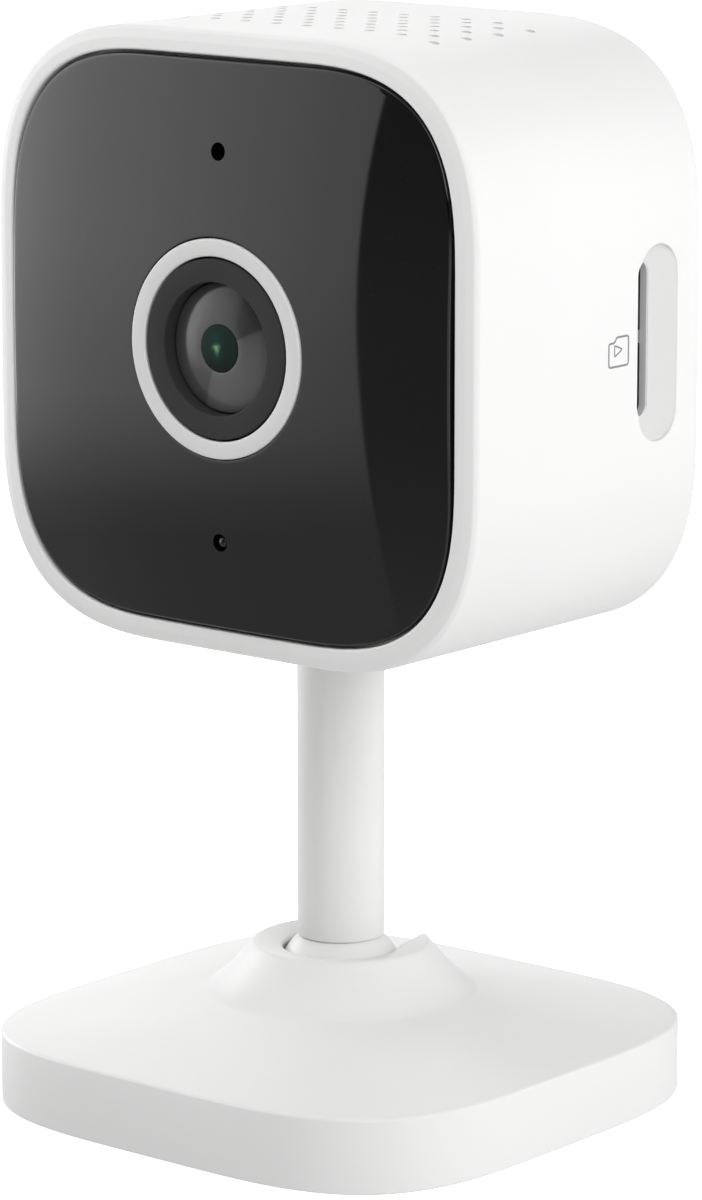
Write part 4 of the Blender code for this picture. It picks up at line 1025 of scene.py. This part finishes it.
def build_lens():
    lens = sizes("lens_sizes")
    inner, well, pupil = mm(lens.ring_inner), mm(lens.well), mm(lens.pupil)
    ring = filleted([
        (inner, RING_BACK, 0.1), (RING_OUTER, RING_BACK, 0.1),
        (RING_OUTER, RING_FRONT, 0.22), (inner, RING_FRONT, 0.22),
    ])
    piece("white_ring", turned(ring, 160), FRONT_PLACE, "ring", "head", "white_shell", "lens_ring")
    step, flange = RING_BACK - 0.3, PANEL_BACK - 0.3
    profile = filleted([
        (well, WELL_BACK, 0.1), (WELL_FLANGE, WELL_BACK, 0.2), (WELL_FLANGE, flange, 0.2),
        (RING_OUTER, flange, 0.1), (RING_OUTER, step, 0.1), (inner - 0.2, step, 0.1),
        (inner - 0.2, WELL_FRONT, 0.14), (well, WELL_FRONT, 0.12),
    ])
    piece("lens_well", turned(profile, 160), FRONT_PLACE, "well", "head", "black_plastic", "lens_bezel")
    dome = mm(lens.dome)
    rim = BARREL_FRONT - dome
    outer = well - 0.13
    glass_seat = GLASS_RADIUS + 0.2
    back_of_wall = -GLASS_LOW[1] + 0.15
    profile = []
    for radius in np.linspace(outer - 0.1, pupil + 0.04, 28):
        share = (radius - pupil) / (outer - pupil)
        profile.append((radius, rim + dome * (1.0 - share**1.6)))
    profile += filleted([
        (pupil, BARREL_FRONT - 0.03, 0.0), (pupil, back_of_wall + 0.3, 0.0), (pupil + 0.3, back_of_wall, 0.05),
        (glass_seat, back_of_wall, 0.1), (glass_seat, BARREL_BACK, 0.1),
        (BARREL_RADIUS - 0.5, BARREL_BACK, 0.2), (BARREL_RADIUS - 0.5, rim - 3.6, 0.0),
        (outer, rim - 3.6, 0.1), (outer, rim - 0.06, 0.0),
    ], closed=False)
    piece("lens_tube", turned(profile, 128), FRONT_PLACE,
          "barrel", "head", "black_plastic", "lens_barrel", sharp=30.0)
    build_glass()
    level = BARREL_FRONT - 0.06
    profile = [(0.02, level - 0.5), (pupil - 0.02, level - 0.5), (pupil - 0.02, level)]
    profile += [(pupil * share, level + 0.1 * (1.0 - share**2)) for share in np.linspace(0.98, 0.01, 16)]
    piece("pupil_window", turned(profile, 96, closed=False), FRONT_PLACE, "pupil", "head", "lens_glass")


def build_glass():
    """Front element, behind the pupil."""
    back = -GLASS_HIGH[1]
    front = -GLASS_LOW[1]
    rim = front - 0.9
    profile = [(0.02, back), (GLASS_RADIUS, back), (GLASS_RADIUS, rim)]
    for share in np.linspace(1.0, 0.004, 24):
        profile.append((GLASS_RADIUS * share, rim + 0.9 * (1.0 - share**2)))
    piece("front_element", turned(profile, 96, closed=False), FRONT_PLACE,
          "lens", "head", "lens_glass", "front_lens")


def build_light_pipe():
    """Clear rod with a rounded end behind the lower eye."""
    radius = PIPE_HIGH[0]
    height = (PIPE_LOW[2] + PIPE_HIGH[2]) / 2.0 - HEAD_CENTRE
    back, front = -PIPE_HIGH[1], -PIPE_LOW[1]
    profile = [(radius * 0.9, back), (radius, back + 0.1)]
    for share in np.linspace(1.0, 0.02, 8):
        profile.append((radius * share, front - 0.3 * (1.0 - math.sqrt(1.0 - share**2 * 0.99))))
    piece("light_guide", turned(profile, 40, False, (0.0, height)), FRONT_PLACE,
          "smoke", "head", "clear_plastic", "light_pipe")


# ------------------------------------------------------------------ back of the head


def screw_shape(head_radius, head_depth, shank, reach):
    profile = filleted([
        (0.02, -reach, 0.0), (0.35 * shank, -reach, 0.0), (shank, 0.9 * shank - reach, 0.0),
        (shank, -head_depth, 0.05), (head_radius, -head_depth, 0.08), (head_radius, -0.35 * head_depth, 0.2),
        (0.8 * head_radius, 0.0, 0.25), (0.02, 0.0, 0.0),
    ], closed=False)
    return turned(profile, 40, closed=False)


def make_screw(name, head_radius, head_depth, shank, reach):
    """A pan-head screw with a cross recess, head upwards at the origin."""
    screw = make_object(name, screw_shape(head_radius, head_depth, shank, reach))
    arm, half = 0.6 * head_radius, 0.14 * head_radius
    for size_x, size_y in ((arm, half), (half, arm)):
        rings = []
        for level, share in ((0.1, 1.0), (-0.8 * head_depth, 0.6)):
            x, y = size_x * share, size_y * share
            rings.append(np.array([(-x, -y, level), (x, -y, level), (x, y, level), (-x, y, level)]))
        carve(screw, loft(rings), STAND_PLACE)
    return screw


def add_screws(name, nodes, body, place, first_angle, head_radius, head_depth, shank, reach):
    """Screws at the frame nodes' places, which lie on one circle."""
    screw = make_screw(name, head_radius, head_depth, shank, reach)
    low, high = node_box(nodes[0])
    centre = Vector([(a + b) / 2.0 for a, b in zip(low, high)])
    local = place.inverted() @ centre
    run_tree(
        screw, screw_tree(), count=len(nodes), circle_radius=math.hypot(local.x, local.y) * MM,
        first_angle=first_angle, seed=5, material=FINISHES["steel"],
    )
    screw.data.transform(metre_place(place))
    smooth(screw, 35.0)
    return settle(screw, "steel", body, "steel", *nodes)


def build_rear_cover():
    """Plug-in back plate with counterbored screws, power inlet and reset hole."""
    casing = sizes("casing_sizes")
    back, front = -COVER_HIGH[1], -COVER_LOW[1]
    inset = mm(casing.wall) + 0.22
    profile = filleted([
        (inset + 0.7, back, 0.0), (inset, back, 0.45), (inset, front, 0.1), (inset + 0.7, front, 0.0),
    ], closed=False)
    rings = [head_ring(d, z) for d, z in profile]
    cover = make_object("back_plate", loft(rings), FRONT_PLACE)
    for sx, sy in ((1, 1), (-1, 1), (-1, -1), (1, -1)):
        centre = (sx * SCREW_REACH, sy * SCREW_REACH)
        profile = [(2.9, back - 0.4), (2.35, back + 0.15), (2.35, back + 1.0), (1.3, back + 1.0)]
        profile.append((1.3, front + 1.0))
        carve(cover, turned(profile, 48, False, centre), FRONT_PLACE)
    carve_rear_openings(cover, back, front)
    smooth(cover, 30.0)
    settle(cover, "shell", "head", "white_shell", "rear_cover")


def carve_rear_openings(cover, back, front):
    """Rounded power inlet with a shallow surround, and the hole that guides the button."""
    middle = (SOCKET_LOW[2] + SOCKET_HIGH[2]) / 2.0 - HEAD_CENTRE
    half_x, half_y = SOCKET_HIGH[0] + 0.4, (SOCKET_HIGH[2] - SOCKET_LOW[2]) / 2.0 + 0.4
    corners = ((-1, -1), (1, -1), (1, 1), (-1, 1))
    outline = filleted([(sx * half_x, sy * half_y, 0.9) for sx, sy in corners])
    shares = ((back - 0.5, 1.3), (back + 0.35, 1.1), (back + 0.36, 1.0), (front + 1.0, 1.0))
    rings = []
    for level, share in shares:
        wide = (share - 1.0) * half_y
        ring = [(x + math.copysign(wide, x), y + math.copysign(wide, y) + middle, level) for x, y in outline]
        rings.append(np.array(ring))
    carve(cover, loft(rings), FRONT_PLACE)
    centre = ((BUTTON_LOW[0] + BUTTON_HIGH[0]) / 2.0, middle)
    radius = BUTTON_RADIUS + 0.25
    profile = [(radius + 0.7, back - 0.5), (radius, back + 0.2), (radius, front + 1.0)]
    carve(cover, turned(profile, 48, False, centre), FRONT_PLACE)


def build_button():
    """Reset button: a slightly dished cap on its flanged stem."""
    centre_x = (BUTTON_LOW[0] + BUTTON_HIGH[0]) / 2.0
    centre_y = (BUTTON_LOW[2] + BUTTON_HIGH[2]) / 2.0 - HEAD_CENTRE
    flange = (BUTTON_HIGH[0] - BUTTON_LOW[0]) / 2.0
    cap, end = -BUTTON_HIGH[1], -BUTTON_LOW[1]
    inner = -COVER_LOW[1] + 0.3
    profile = filleted([
        (0.03, cap + 0.22, 0.0), (0.8 * BUTTON_RADIUS, cap + 0.06, 0.3), (0.92 * BUTTON_RADIUS, cap, 0.1),
        (BUTTON_RADIUS, cap + 0.2, 0.12), (BUTTON_RADIUS, inner, 0.05), (flange, inner, 0.1),
        (flange, inner + 0.8, 0.1), (BUTTON_RADIUS - 0.5, inner + 0.8, 0.1), (BUTTON_RADIUS - 0.5, end, 0.2),
        (0.03, end, 0.0),
    ], closed=False)
    piece("reset_cap", turned(profile, 64, False, (centre_x, centre_y)), FRONT_PLACE,
          "grey", "button", "grey_plastic", "reset_button")


def build_power_socket():
    """Pressed steel shell of the power socket with its tongue."""
    low = [SOCKET_LOW[0], SOCKET_LOW[1], SOCKET_LOW[2] - HEAD_CENTRE]
    high = [SOCKET_HIGH[0], SOCKET_HIGH[1], SOCKET_HIGH[2] - HEAD_CENTRE]
    middle = (low[2] + high[2]) / 2.0
    shell = make_object("power_inlet", block(low, high), HEAD_PLACE)
    soften(shell, 0.8, 5)
    mouth = make_object("power_mouth", block((low[0] + 0.45, high[1] - 6.0, low[2] + 0.45),
                                             (high[0] - 0.45, high[1] + 2.0, high[2] - 0.45)), HEAD_PLACE)
    soften(mouth, 0.5, 4)
    modifier = shell.modifiers.new("Mouth", "BOOLEAN")
    modifier.operation = "DIFFERENCE"
    modifier.object = mouth
    baked(shell)
    bpy.data.objects.remove(mouth)
    smooth(shell, 30.0)
    tongue = make_object("power_tongue", block((low[0] + 1.4, high[1] - 6.2, middle - 0.32),
                                               (high[0] - 1.4, high[1] - 0.7, middle + 0.32)), HEAD_PLACE)
    soften(tongue, 0.1, 2)
    settle(shell, "steel", "head", "steel", "power_socket")
    settle(tongue, "black", "head", "black_plastic")


# ------------------------------------------------------------------ stand


def base_top(radius):
    """Height of the base's top: a gentle slope up from the edge, with the collar's cone on it."""
    stand = sizes("stand_sizes")
    edge = BASE_HALF - EDGE_ROUNDING
    slope = TOP_SLOPE * (edge - min(radius, edge))
    cone = COLLAR_TOP - mm(stand.edge_top) - TOP_SLOPE * (edge - mm(stand.collar))
    share = max(CONE_FOOT - radius, 0.0) / (CONE_FOOT - mm(stand.collar))
    return mm(stand.edge_top) + slope + cone * share**CONE_POWER


def base_ring(half, level, steps=256):
    """Round near the collar and growing to the base's own outline at its edge."""
    stand = sizes("stand_sizes")
    share = min(max((half - ROUND_OUT_TO) / (BASE_HALF - ROUND_OUT_TO), 0.0), 1.0)
    share = share * share * (3.0 - 2.0 * share)
    straight = (BASE_HALF - mm(stand.corner)) * share
    exponent = 2.0 + (stand.squareness - 2.0) * share
    return square_ring(half, half - straight, exponent, level, steps)


def build_base():
    stand = sizes("stand_sizes")
    edge_top, collar, lip = mm(stand.edge_top), mm(stand.collar), mm(stand.lip)
    low = BASE_LOW[2]
    socket = BALL_RADIUS + 0.35
    profile = filleted([(BASE_HALF - 1.9, low, 0.3), (BASE_HALF, low, 0.35), (BASE_HALF, edge_top - 0.2, 0.0)],
                       closed=False)[:-1]
    rounding = np.radians(np.linspace(0.0, 77.0, 7))
    for angle in rounding:
        across = BASE_HALF - EDGE_ROUNDING * (1.0 - math.cos(angle))
        profile.append((across, edge_top - EDGE_ROUNDING * (1.0 - math.sin(angle))))
    for radius in np.linspace(BASE_HALF - 1.0, collar + 0.35, 52):
        profile.append((radius, base_top(radius)))
    crest = [(0.12, 0.14), (-0.08, 0.02), (-0.3, 0.0), (-0.55, 0.02), (-0.8, 0.08)]
    profile += [(collar + out, COLLAR_TOP - drop) for out, drop in crest]
    profile += [(lip + out, COLLAR_TOP - drop) for out, drop in ((0.3, 0.42), (0.12, 0.5), (0.02, 0.62))]
    profile += arc(socket, BALL_HEIGHT, sphere_angle(socket, lip), 90.0, 14)
    boss, under = socket + 2.25, BALL_HEIGHT - 4.0
    profile += [(socket, BASE_FLOOR), (boss, BASE_FLOOR), (boss, under)]
    for radius in (16.0, 21.0, BASE_HALF - 1.9):
        profile.append((radius, min(under, base_top(radius) - 1.9)))
    base = make_object("stand_base", loft([base_ring(r, z) for r, z in profile], closed=True), STAND_PLACE)
    carve_notch(base, mm(stand.notch), stand.fold)
    smooth(base, 30.0)
    settle(base, "stand", "base", "white_shell", "base_cover")


def carve_notch(base, half, fold):
    """The slot that the folded pole lies in, cut back through the collar."""
    angles = np.radians(np.linspace(0.0, 180.0, 33))
    outline = [(half * math.cos(a), half * math.sin(a)) for a in angles]
    outline += [(-half, -BASE_HALF), (half, -BASE_HALF)]
    rings = [np.array([(x, y, z) for x, y in outline]) for z in (0.0, BASE_HALF)]
    turn = Matrix.Translation((0.0, 0.0, BALL_HEIGHT)) @ Matrix.Rotation(-fold, 4, "X")
    carve(base, loft(rings), turn)


def build_pole_and_ball():
    top, bore = POLE_HIGH[2], 1.7
    seat = BALL_RADIUS + 0.12
    profile = [(bore, POLE_LOW[2] + 13.0), *arc(seat, BALL_HEIGHT, sphere_angle(seat, bore),
                                                sphere_angle(seat, POLE_RADIUS - 0.12), 12)]
    start = profile[-1][1]
    profile += [(POLE_RADIUS - 0.03, start + 0.02), (POLE_RADIUS, start + 0.14), (POLE_RADIUS, top - 0.4)]
    profile += [(POLE_RADIUS - 0.4, top), (bore, top)]
    piece("stand_pole", turned(profile, 128), STAND_PLACE, "pole", "ball", "white_shell", "pole", sharp=40.0)
    counterbore, step = 2.9, BALL_HEIGHT - BALL_RADIUS + 2.9
    profile = arc(BALL_RADIUS, BALL_HEIGHT, sphere_angle(BALL_RADIUS, bore),
                  180.0 - sphere_angle(BALL_RADIUS, counterbore), 48)
    profile += [(counterbore, step), (bore, step)]
    piece("joint_ball", turned(profile, 128), STAND_PLACE, "pole", "ball", "white_shell", "ball", sharp=40.0)


def build_foot():
    """Rubber pad with shallow grip grooves underneath."""
    half = FOOT_HIGH[0]
    low, high = FOOT_LOW[2], FOOT_HIGH[2]
    profile = [(0.5, low + 0.25)]
    for groove in np.linspace(6.0, half - 3.2, 6):
        grip = ((-0.5, 0.0), (-0.35, 0.25), (0.35, 0.25), (0.5, 0.0))
        profile += [(groove + out, low + rise) for out, rise in grip]
    profile += filleted([(half - 2.0, low, 0.0), (half, low, 0.25), (half, high, 0.15), (0.5, high, 0.0)],
                        closed=False)
    piece("grip_pad", loft([base_ring(r, z, 192) for r, z in profile]), STAND_PLACE,
          "rubber", "base", "black_rubber", "foot_pad")


# ------------------------------------------------------------------ inner parts


INNER_FINISHES = {
    "bottom_plate": "grey", "friction_cup": "grey", "ball_seat": "black", "seat_spring": "steel",
    "clamp_plate": "steel", "base_weight": "weight", "ball_screw": "steel", "pole_screw": "steel",
    "front_bracket": "black", "lens_spacer": "black", "lens_holder": "black", "middle_lens": "lens",
    "rear_lens": "lens", "filter_carrier": "black", "ir_cut_filter": "filter", "clear_filter": "lens",
    "filter_actuator": "copper", "image_sensor": "chip", "sensor_board": "board", "front_board": "board",
    "status_led": "clear", "microphone": "steel", "microphone_boot": "rubber", "main_board": "board",
    "processor": "chip", "heat_sink": "aluminium", "reset_switch": "black", "wifi_antenna": "copper",
    "speaker_gasket": "foam", "speaker_frame": "black", "speaker_cone": "black", "speaker_magnet": "steel",
    "board_screw_1": "steel", "board_screw_2": "steel",
    "infrared_led_1": "clear", "infrared_led_2": "clear", "infrared_led_3": "clear", "infrared_led_4": "clear",
}


def finish_inner_parts():
    for node, finish in INNER_FINISHES.items():
        part = frame["nodes"][node]
        part.data.materials.clear()
        part.data.materials.append(FINISHES[finish])


# ------------------------------------------------------------------ stage


CAMERA_PLACE = (0.3257, -0.3928, 0.1560)
CAMERA_YAW = 39.552
CAMERA_PITCH = 11.656
CAMERA_LENS = 158.41
CARD_DISTANCE = 2.0
LIGHT_AIM = Vector((0.0, 0.0, 0.06))
LIGHT_DISTANCE = 0.9
LIGHT_SIZE = 0.6
WORLD_BELOW, WORLD_ABOVE = 0.9, 0.0
SOFTBOXES = (
    (-90.0, 8.0, 4.73), (45.0, 32.0, 3.14), (135.0, 8.0, 2.81), (90.0, 32.0, 1.91), (-45.0, 58.0, 1.5),
    (-135.0, 58.0, 1.46), (-135.0, 8.0, 1.18), (0.0, 88.0, 1.06), (90.0, 8.0, 1.05), (0.0, 58.0, 0.94),
    (-135.0, 32.0, 0.69), (-90.0, 58.0, 0.68), (180.0, 8.0, 0.54),
)
SOFTBOX_EDGE = -31.75
EDGE_MIDDLE = -9.0


def hide_from(obj, *rays):
    for ray in rays:
        setattr(obj, f"visible_{ray}", False)


def build_floor():
    bpy.ops.mesh.primitive_circle_add(vertices=96, radius=6.0, fill_type="NGON")
    floor = bpy.context.object
    floor.name = "floor"
    material, tree, shader = principled("Pale floor")
    feed(tree, shader, {
        "Base Color": (0.9, 0.9, 0.9, 1.0), "Roughness": 0.9, "Specular IOR Level": 0.1,
        "Emission Color": (1.0, 1.0, 1.0, 1.0), "Emission Strength": 1.0,
    })
    floor.data.materials.append(material)
    hide_from(floor, "glossy", "diffuse")


def card_direction(azimuth, elevation):
    """Direction from the head to a place on the studio card, in degrees from straight ahead."""
    a, e = math.radians(azimuth), math.radians(elevation)
    return Vector((math.sin(a) * math.cos(e), -math.cos(a) * math.cos(e), math.sin(e)))


def build_studio_card():
    """A softbox with a straight edge beside a dark flag: only gloss sees it."""
    offsets = np.union1d(np.linspace(-46.0, 27.0, 74), np.linspace(-0.12, 0.12, 5))
    elevations = np.linspace(-44.0, 40.0, 57)
    centre = Vector((0.0, 0.0, HEAD_CENTRE * MM))
    places = [(softbox_edge(elevation) + offset, elevation) for elevation in elevations for offset in offsets]
    points = [centre + card_direction(*place) * CARD_DISTANCE for place in places]
    count, faces = len(offsets), []
    for row in range(len(elevations) - 1):
        for column in range(count - 1):
            first = row * count + column
            faces.append((first, first + 1, first + 1 + count, first + count))
    mesh = bpy.data.meshes.new("studio_card")
    mesh.from_pydata(points, [], faces)
    glow = mesh.attributes.new("glow", "FLOAT", "POINT")
    glow.data.foreach_set("value", np.array([card_glow(*place) for place in places], np.float32))
    card = bpy.data.objects.new("studio_card", mesh)
    bpy.context.scene.collection.objects.link(card)
    material = bpy.data.materials.new("Studio card")
    material.use_nodes = True
    tree = material.node_tree
    tree.nodes.clear()
    glowing = add(tree, "ShaderNodeAttribute", {}, attribute_name="glow").outputs["Fac"]
    emission = add(tree, "ShaderNodeEmission", {"Strength": glowing}).outputs[0]
    add(tree, "ShaderNodeOutputMaterial", {"Surface": emission})
    card.data.materials.append(material)
    hide_from(card, "camera", "diffuse", "shadow", "transmission")


def smooth_step(low, high, value):
    share = min(max((value - low) / (high - low), 0.0), 1.0)
    return share * share * (3.0 - 2.0 * share)


def softbox_edge(elevation):
    """Azimuth of the softbox's edge, which bows away from its middle."""
    bow = (elevation - EDGE_MIDDLE) / 13.0
    return SOFTBOX_EDGE + (1.7 if bow > 0.0 else 0.7) * min(bow * bow, 2.0)


def card_glow(azimuth, elevation):
    """Brightness of the card: a softbox on the left, brighter further out and fading downwards."""
    out = softbox_edge(elevation) - azimuth
    box = 1.25 + 0.05 * max(out, 0.0) + 0.02 * max(out - 17.0, 0.0) ** 2
    below = 0.48 + 0.1 * smooth_step(14.0, 22.0, out)
    rise = 0.7 * smooth_step(-17.0, -10.0, elevation) + 0.3 * smooth_step(-11.0, -3.5, elevation)
    lit = below + (min(box, 3.2) - below) * rise
    dark = 0.15 + 0.1 * smooth_step(3.0, -8.0, elevation) + 0.2 * smooth_step(-10.0, -24.0, elevation)
    return dark + (lit - dark) * smooth_step(-0.12, 0.12, out)


def add_light(azimuth, elevation, power):
    """A soft square light that faces the camera's head from the given direction."""
    data = bpy.data.lights.new("softbox", "AREA")
    data.size, data.energy = LIGHT_SIZE, power
    away = card_direction(azimuth, elevation)
    light = bpy.data.objects.new("softbox", data)
    light.location = LIGHT_AIM + away * LIGHT_DISTANCE
    light.rotation_mode = "QUATERNION"
    light.rotation_quaternion = (-away).to_track_quat("-Z", "Y")
    light.visible_camera = False
    bpy.context.scene.collection.objects.link(light)


def build_world():
    """Dark above and bright below the horizon, as over a white table."""
    world = bpy.data.worlds.new("Studio")
    world.use_nodes = True
    tree = world.node_tree
    direction = add(tree, "ShaderNodeTexCoord").outputs["Generated"]
    height = add(tree, "ShaderNodeSeparateXYZ", {0: direction}).outputs["Z"]
    strength = between(tree, height, WORLD_BELOW, WORLD_ABOVE, -0.04, 0.04)
    feed(tree, tree.nodes["Background"], {"Color": (1.0, 1.0, 1.0, 1.0), "Strength": strength})
    bpy.context.scene.world = world


def build_lights():
    for azimuth, elevation, power in SOFTBOXES:
        add_light(azimuth, elevation, power)
    build_world()
    bpy.context.scene.view_settings.view_transform = "Standard"


def build_camera():
    data = bpy.data.cameras.new("view")
    data.lens = CAMERA_LENS
    data.sensor_width = 36.0
    data.clip_start, data.clip_end = 0.01, 50.0
    camera = bpy.data.objects.new("view", data)
    camera.location = CAMERA_PLACE
    camera.rotation_euler = (math.radians(90.0 - CAMERA_PITCH), 0.0, math.radians(CAMERA_YAW))
    bpy.context.scene.collection.objects.link(camera)
    bpy.context.scene.camera = camera


# ------------------------------------------------------------------ operators and panel


def make_finish_table():
    FINISHES.update(make_finishes())


def build_back_screws():
    shift = FRONT_PLACE @ Matrix.Translation((0.0, 0.0, -COVER_HIGH[1])) @ Matrix.Rotation(math.pi, 4, "X")
    nodes = [f"cover_screw_{number}" for number in range(1, 5)]
    add_screws("back_screws", nodes, "head", shift, math.radians(45.0), 2.0, 0.7, 1.0, 9.0)


def build_base_screws():
    shift = Matrix.Translation((0.0, 0.0, PLATE_LOW[2] + 0.1)) @ Matrix.Rotation(math.pi, 4, "X")
    nodes = [f"base_screw_{number}" for number in range(1, 4)]
    add_screws("base_screws", nodes, "base", shift, math.radians(-30.0), 2.0, 0.65, 1.0, 6.6)


class Step:
    """Runs the builders of one group of pieces."""

    builders = ()

    def execute(self, context):
        for builder in self.builders:
            builder()
        return {"FINISHED"}


class CAMERA_OT_stage(Step, bpy.types.Operator):
    """Set up the floor, the soft lights and the camera"""

    bl_idname = "camera_maker.stage"
    bl_label = "Stage"
    builders = (build_camera, build_floor, build_studio_card, build_lights)


class CAMERA_OT_finishes(Step, bpy.types.Operator):
    """Make every plastic, metal, glass and rubber finish"""

    bl_idname = "camera_maker.finishes"
    bl_label = "Finishes"
    builders = (make_finish_table,)


class CAMERA_OT_head(Step, bpy.types.Operator):
    """Build the head's casing with its grille, card slot and pictogram"""

    bl_idname = "camera_maker.head"
    bl_label = "Head casing"
    builders = (build_head_shell, build_card_socket, build_card_mark)


class CAMERA_OT_front(Step, bpy.types.Operator):
    """Build the domed front panel and the light guide behind its lower eye"""

    bl_idname = "camera_maker.front"
    bl_label = "Front panel"
    builders = (build_panel, build_light_pipe)


class CAMERA_OT_lens(Step, bpy.types.Operator):
    """Build the white ring, the dark well, the barrel and the front element"""

    bl_idname = "camera_maker.lens"
    bl_label = "Lens"
    builders = (build_lens,)


class CAMERA_OT_back(Step, bpy.types.Operator):
    """Build the back plate with its screws, power socket and reset button"""

    bl_idname = "camera_maker.back"
    bl_label = "Back"
    builders = (build_rear_cover, build_power_socket, build_button, build_back_screws)


class CAMERA_OT_stand(Step, bpy.types.Operator):
    """Build the base with its collar, the pole, the ball and the foot"""

    bl_idname = "camera_maker.stand"
    bl_label = "Stand"
    builders = (build_base, build_pole_and_ball, build_foot, build_base_screws)


class CAMERA_OT_inside(Step, bpy.types.Operator):
    """Finish the boards, the speaker and the other parts inside"""

    bl_idname = "camera_maker.inside"
    bl_label = "Inner parts"
    builders = (finish_inner_parts,)


OPERATORS = (
    CAMERA_OT_stage, CAMERA_OT_finishes, CAMERA_OT_head, CAMERA_OT_front, CAMERA_OT_lens, CAMERA_OT_back,
    CAMERA_OT_stand, CAMERA_OT_inside,
)


class CAMERA_PT_maker(bpy.types.Panel):
    bl_idname = "CAMERA_PT_maker"
    bl_label = "Security Camera"
    bl_space_type = "VIEW_3D"
    bl_region_type = "UI"
    bl_category = "Camera"

    def draw(self, context):
        for operator in OPERATORS:
            self.layout.operator(operator.bl_idname)
        for group, kind in GROUPS.items():
            column = self.layout.column(heading=group.replace("_", " ").capitalize())
            for field in kind.__annotations__:
                column.prop(getattr(context.scene, group), field)


def register():
    for group, kind in GROUPS.items():
        bpy.utils.register_class(kind)
        setattr(bpy.types.Scene, group, PointerProperty(type=kind))
    for kind in (*OPERATORS, CAMERA_PT_maker):
        bpy.utils.register_class(kind)


def unregister():
    for kind in reversed((*OPERATORS, CAMERA_PT_maker)):
        bpy.utils.unregister_class(kind)
    for group, kind in GROUPS.items():
        delattr(bpy.types.Scene, group)
        bpy.utils.unregister_class(kind)


def main():
    register()
    for operator in OPERATORS:
        module, name = operator.bl_idname.split(".")
        getattr(getattr(bpy.ops, module), name)()


if __name__ == "__main__":
    main()
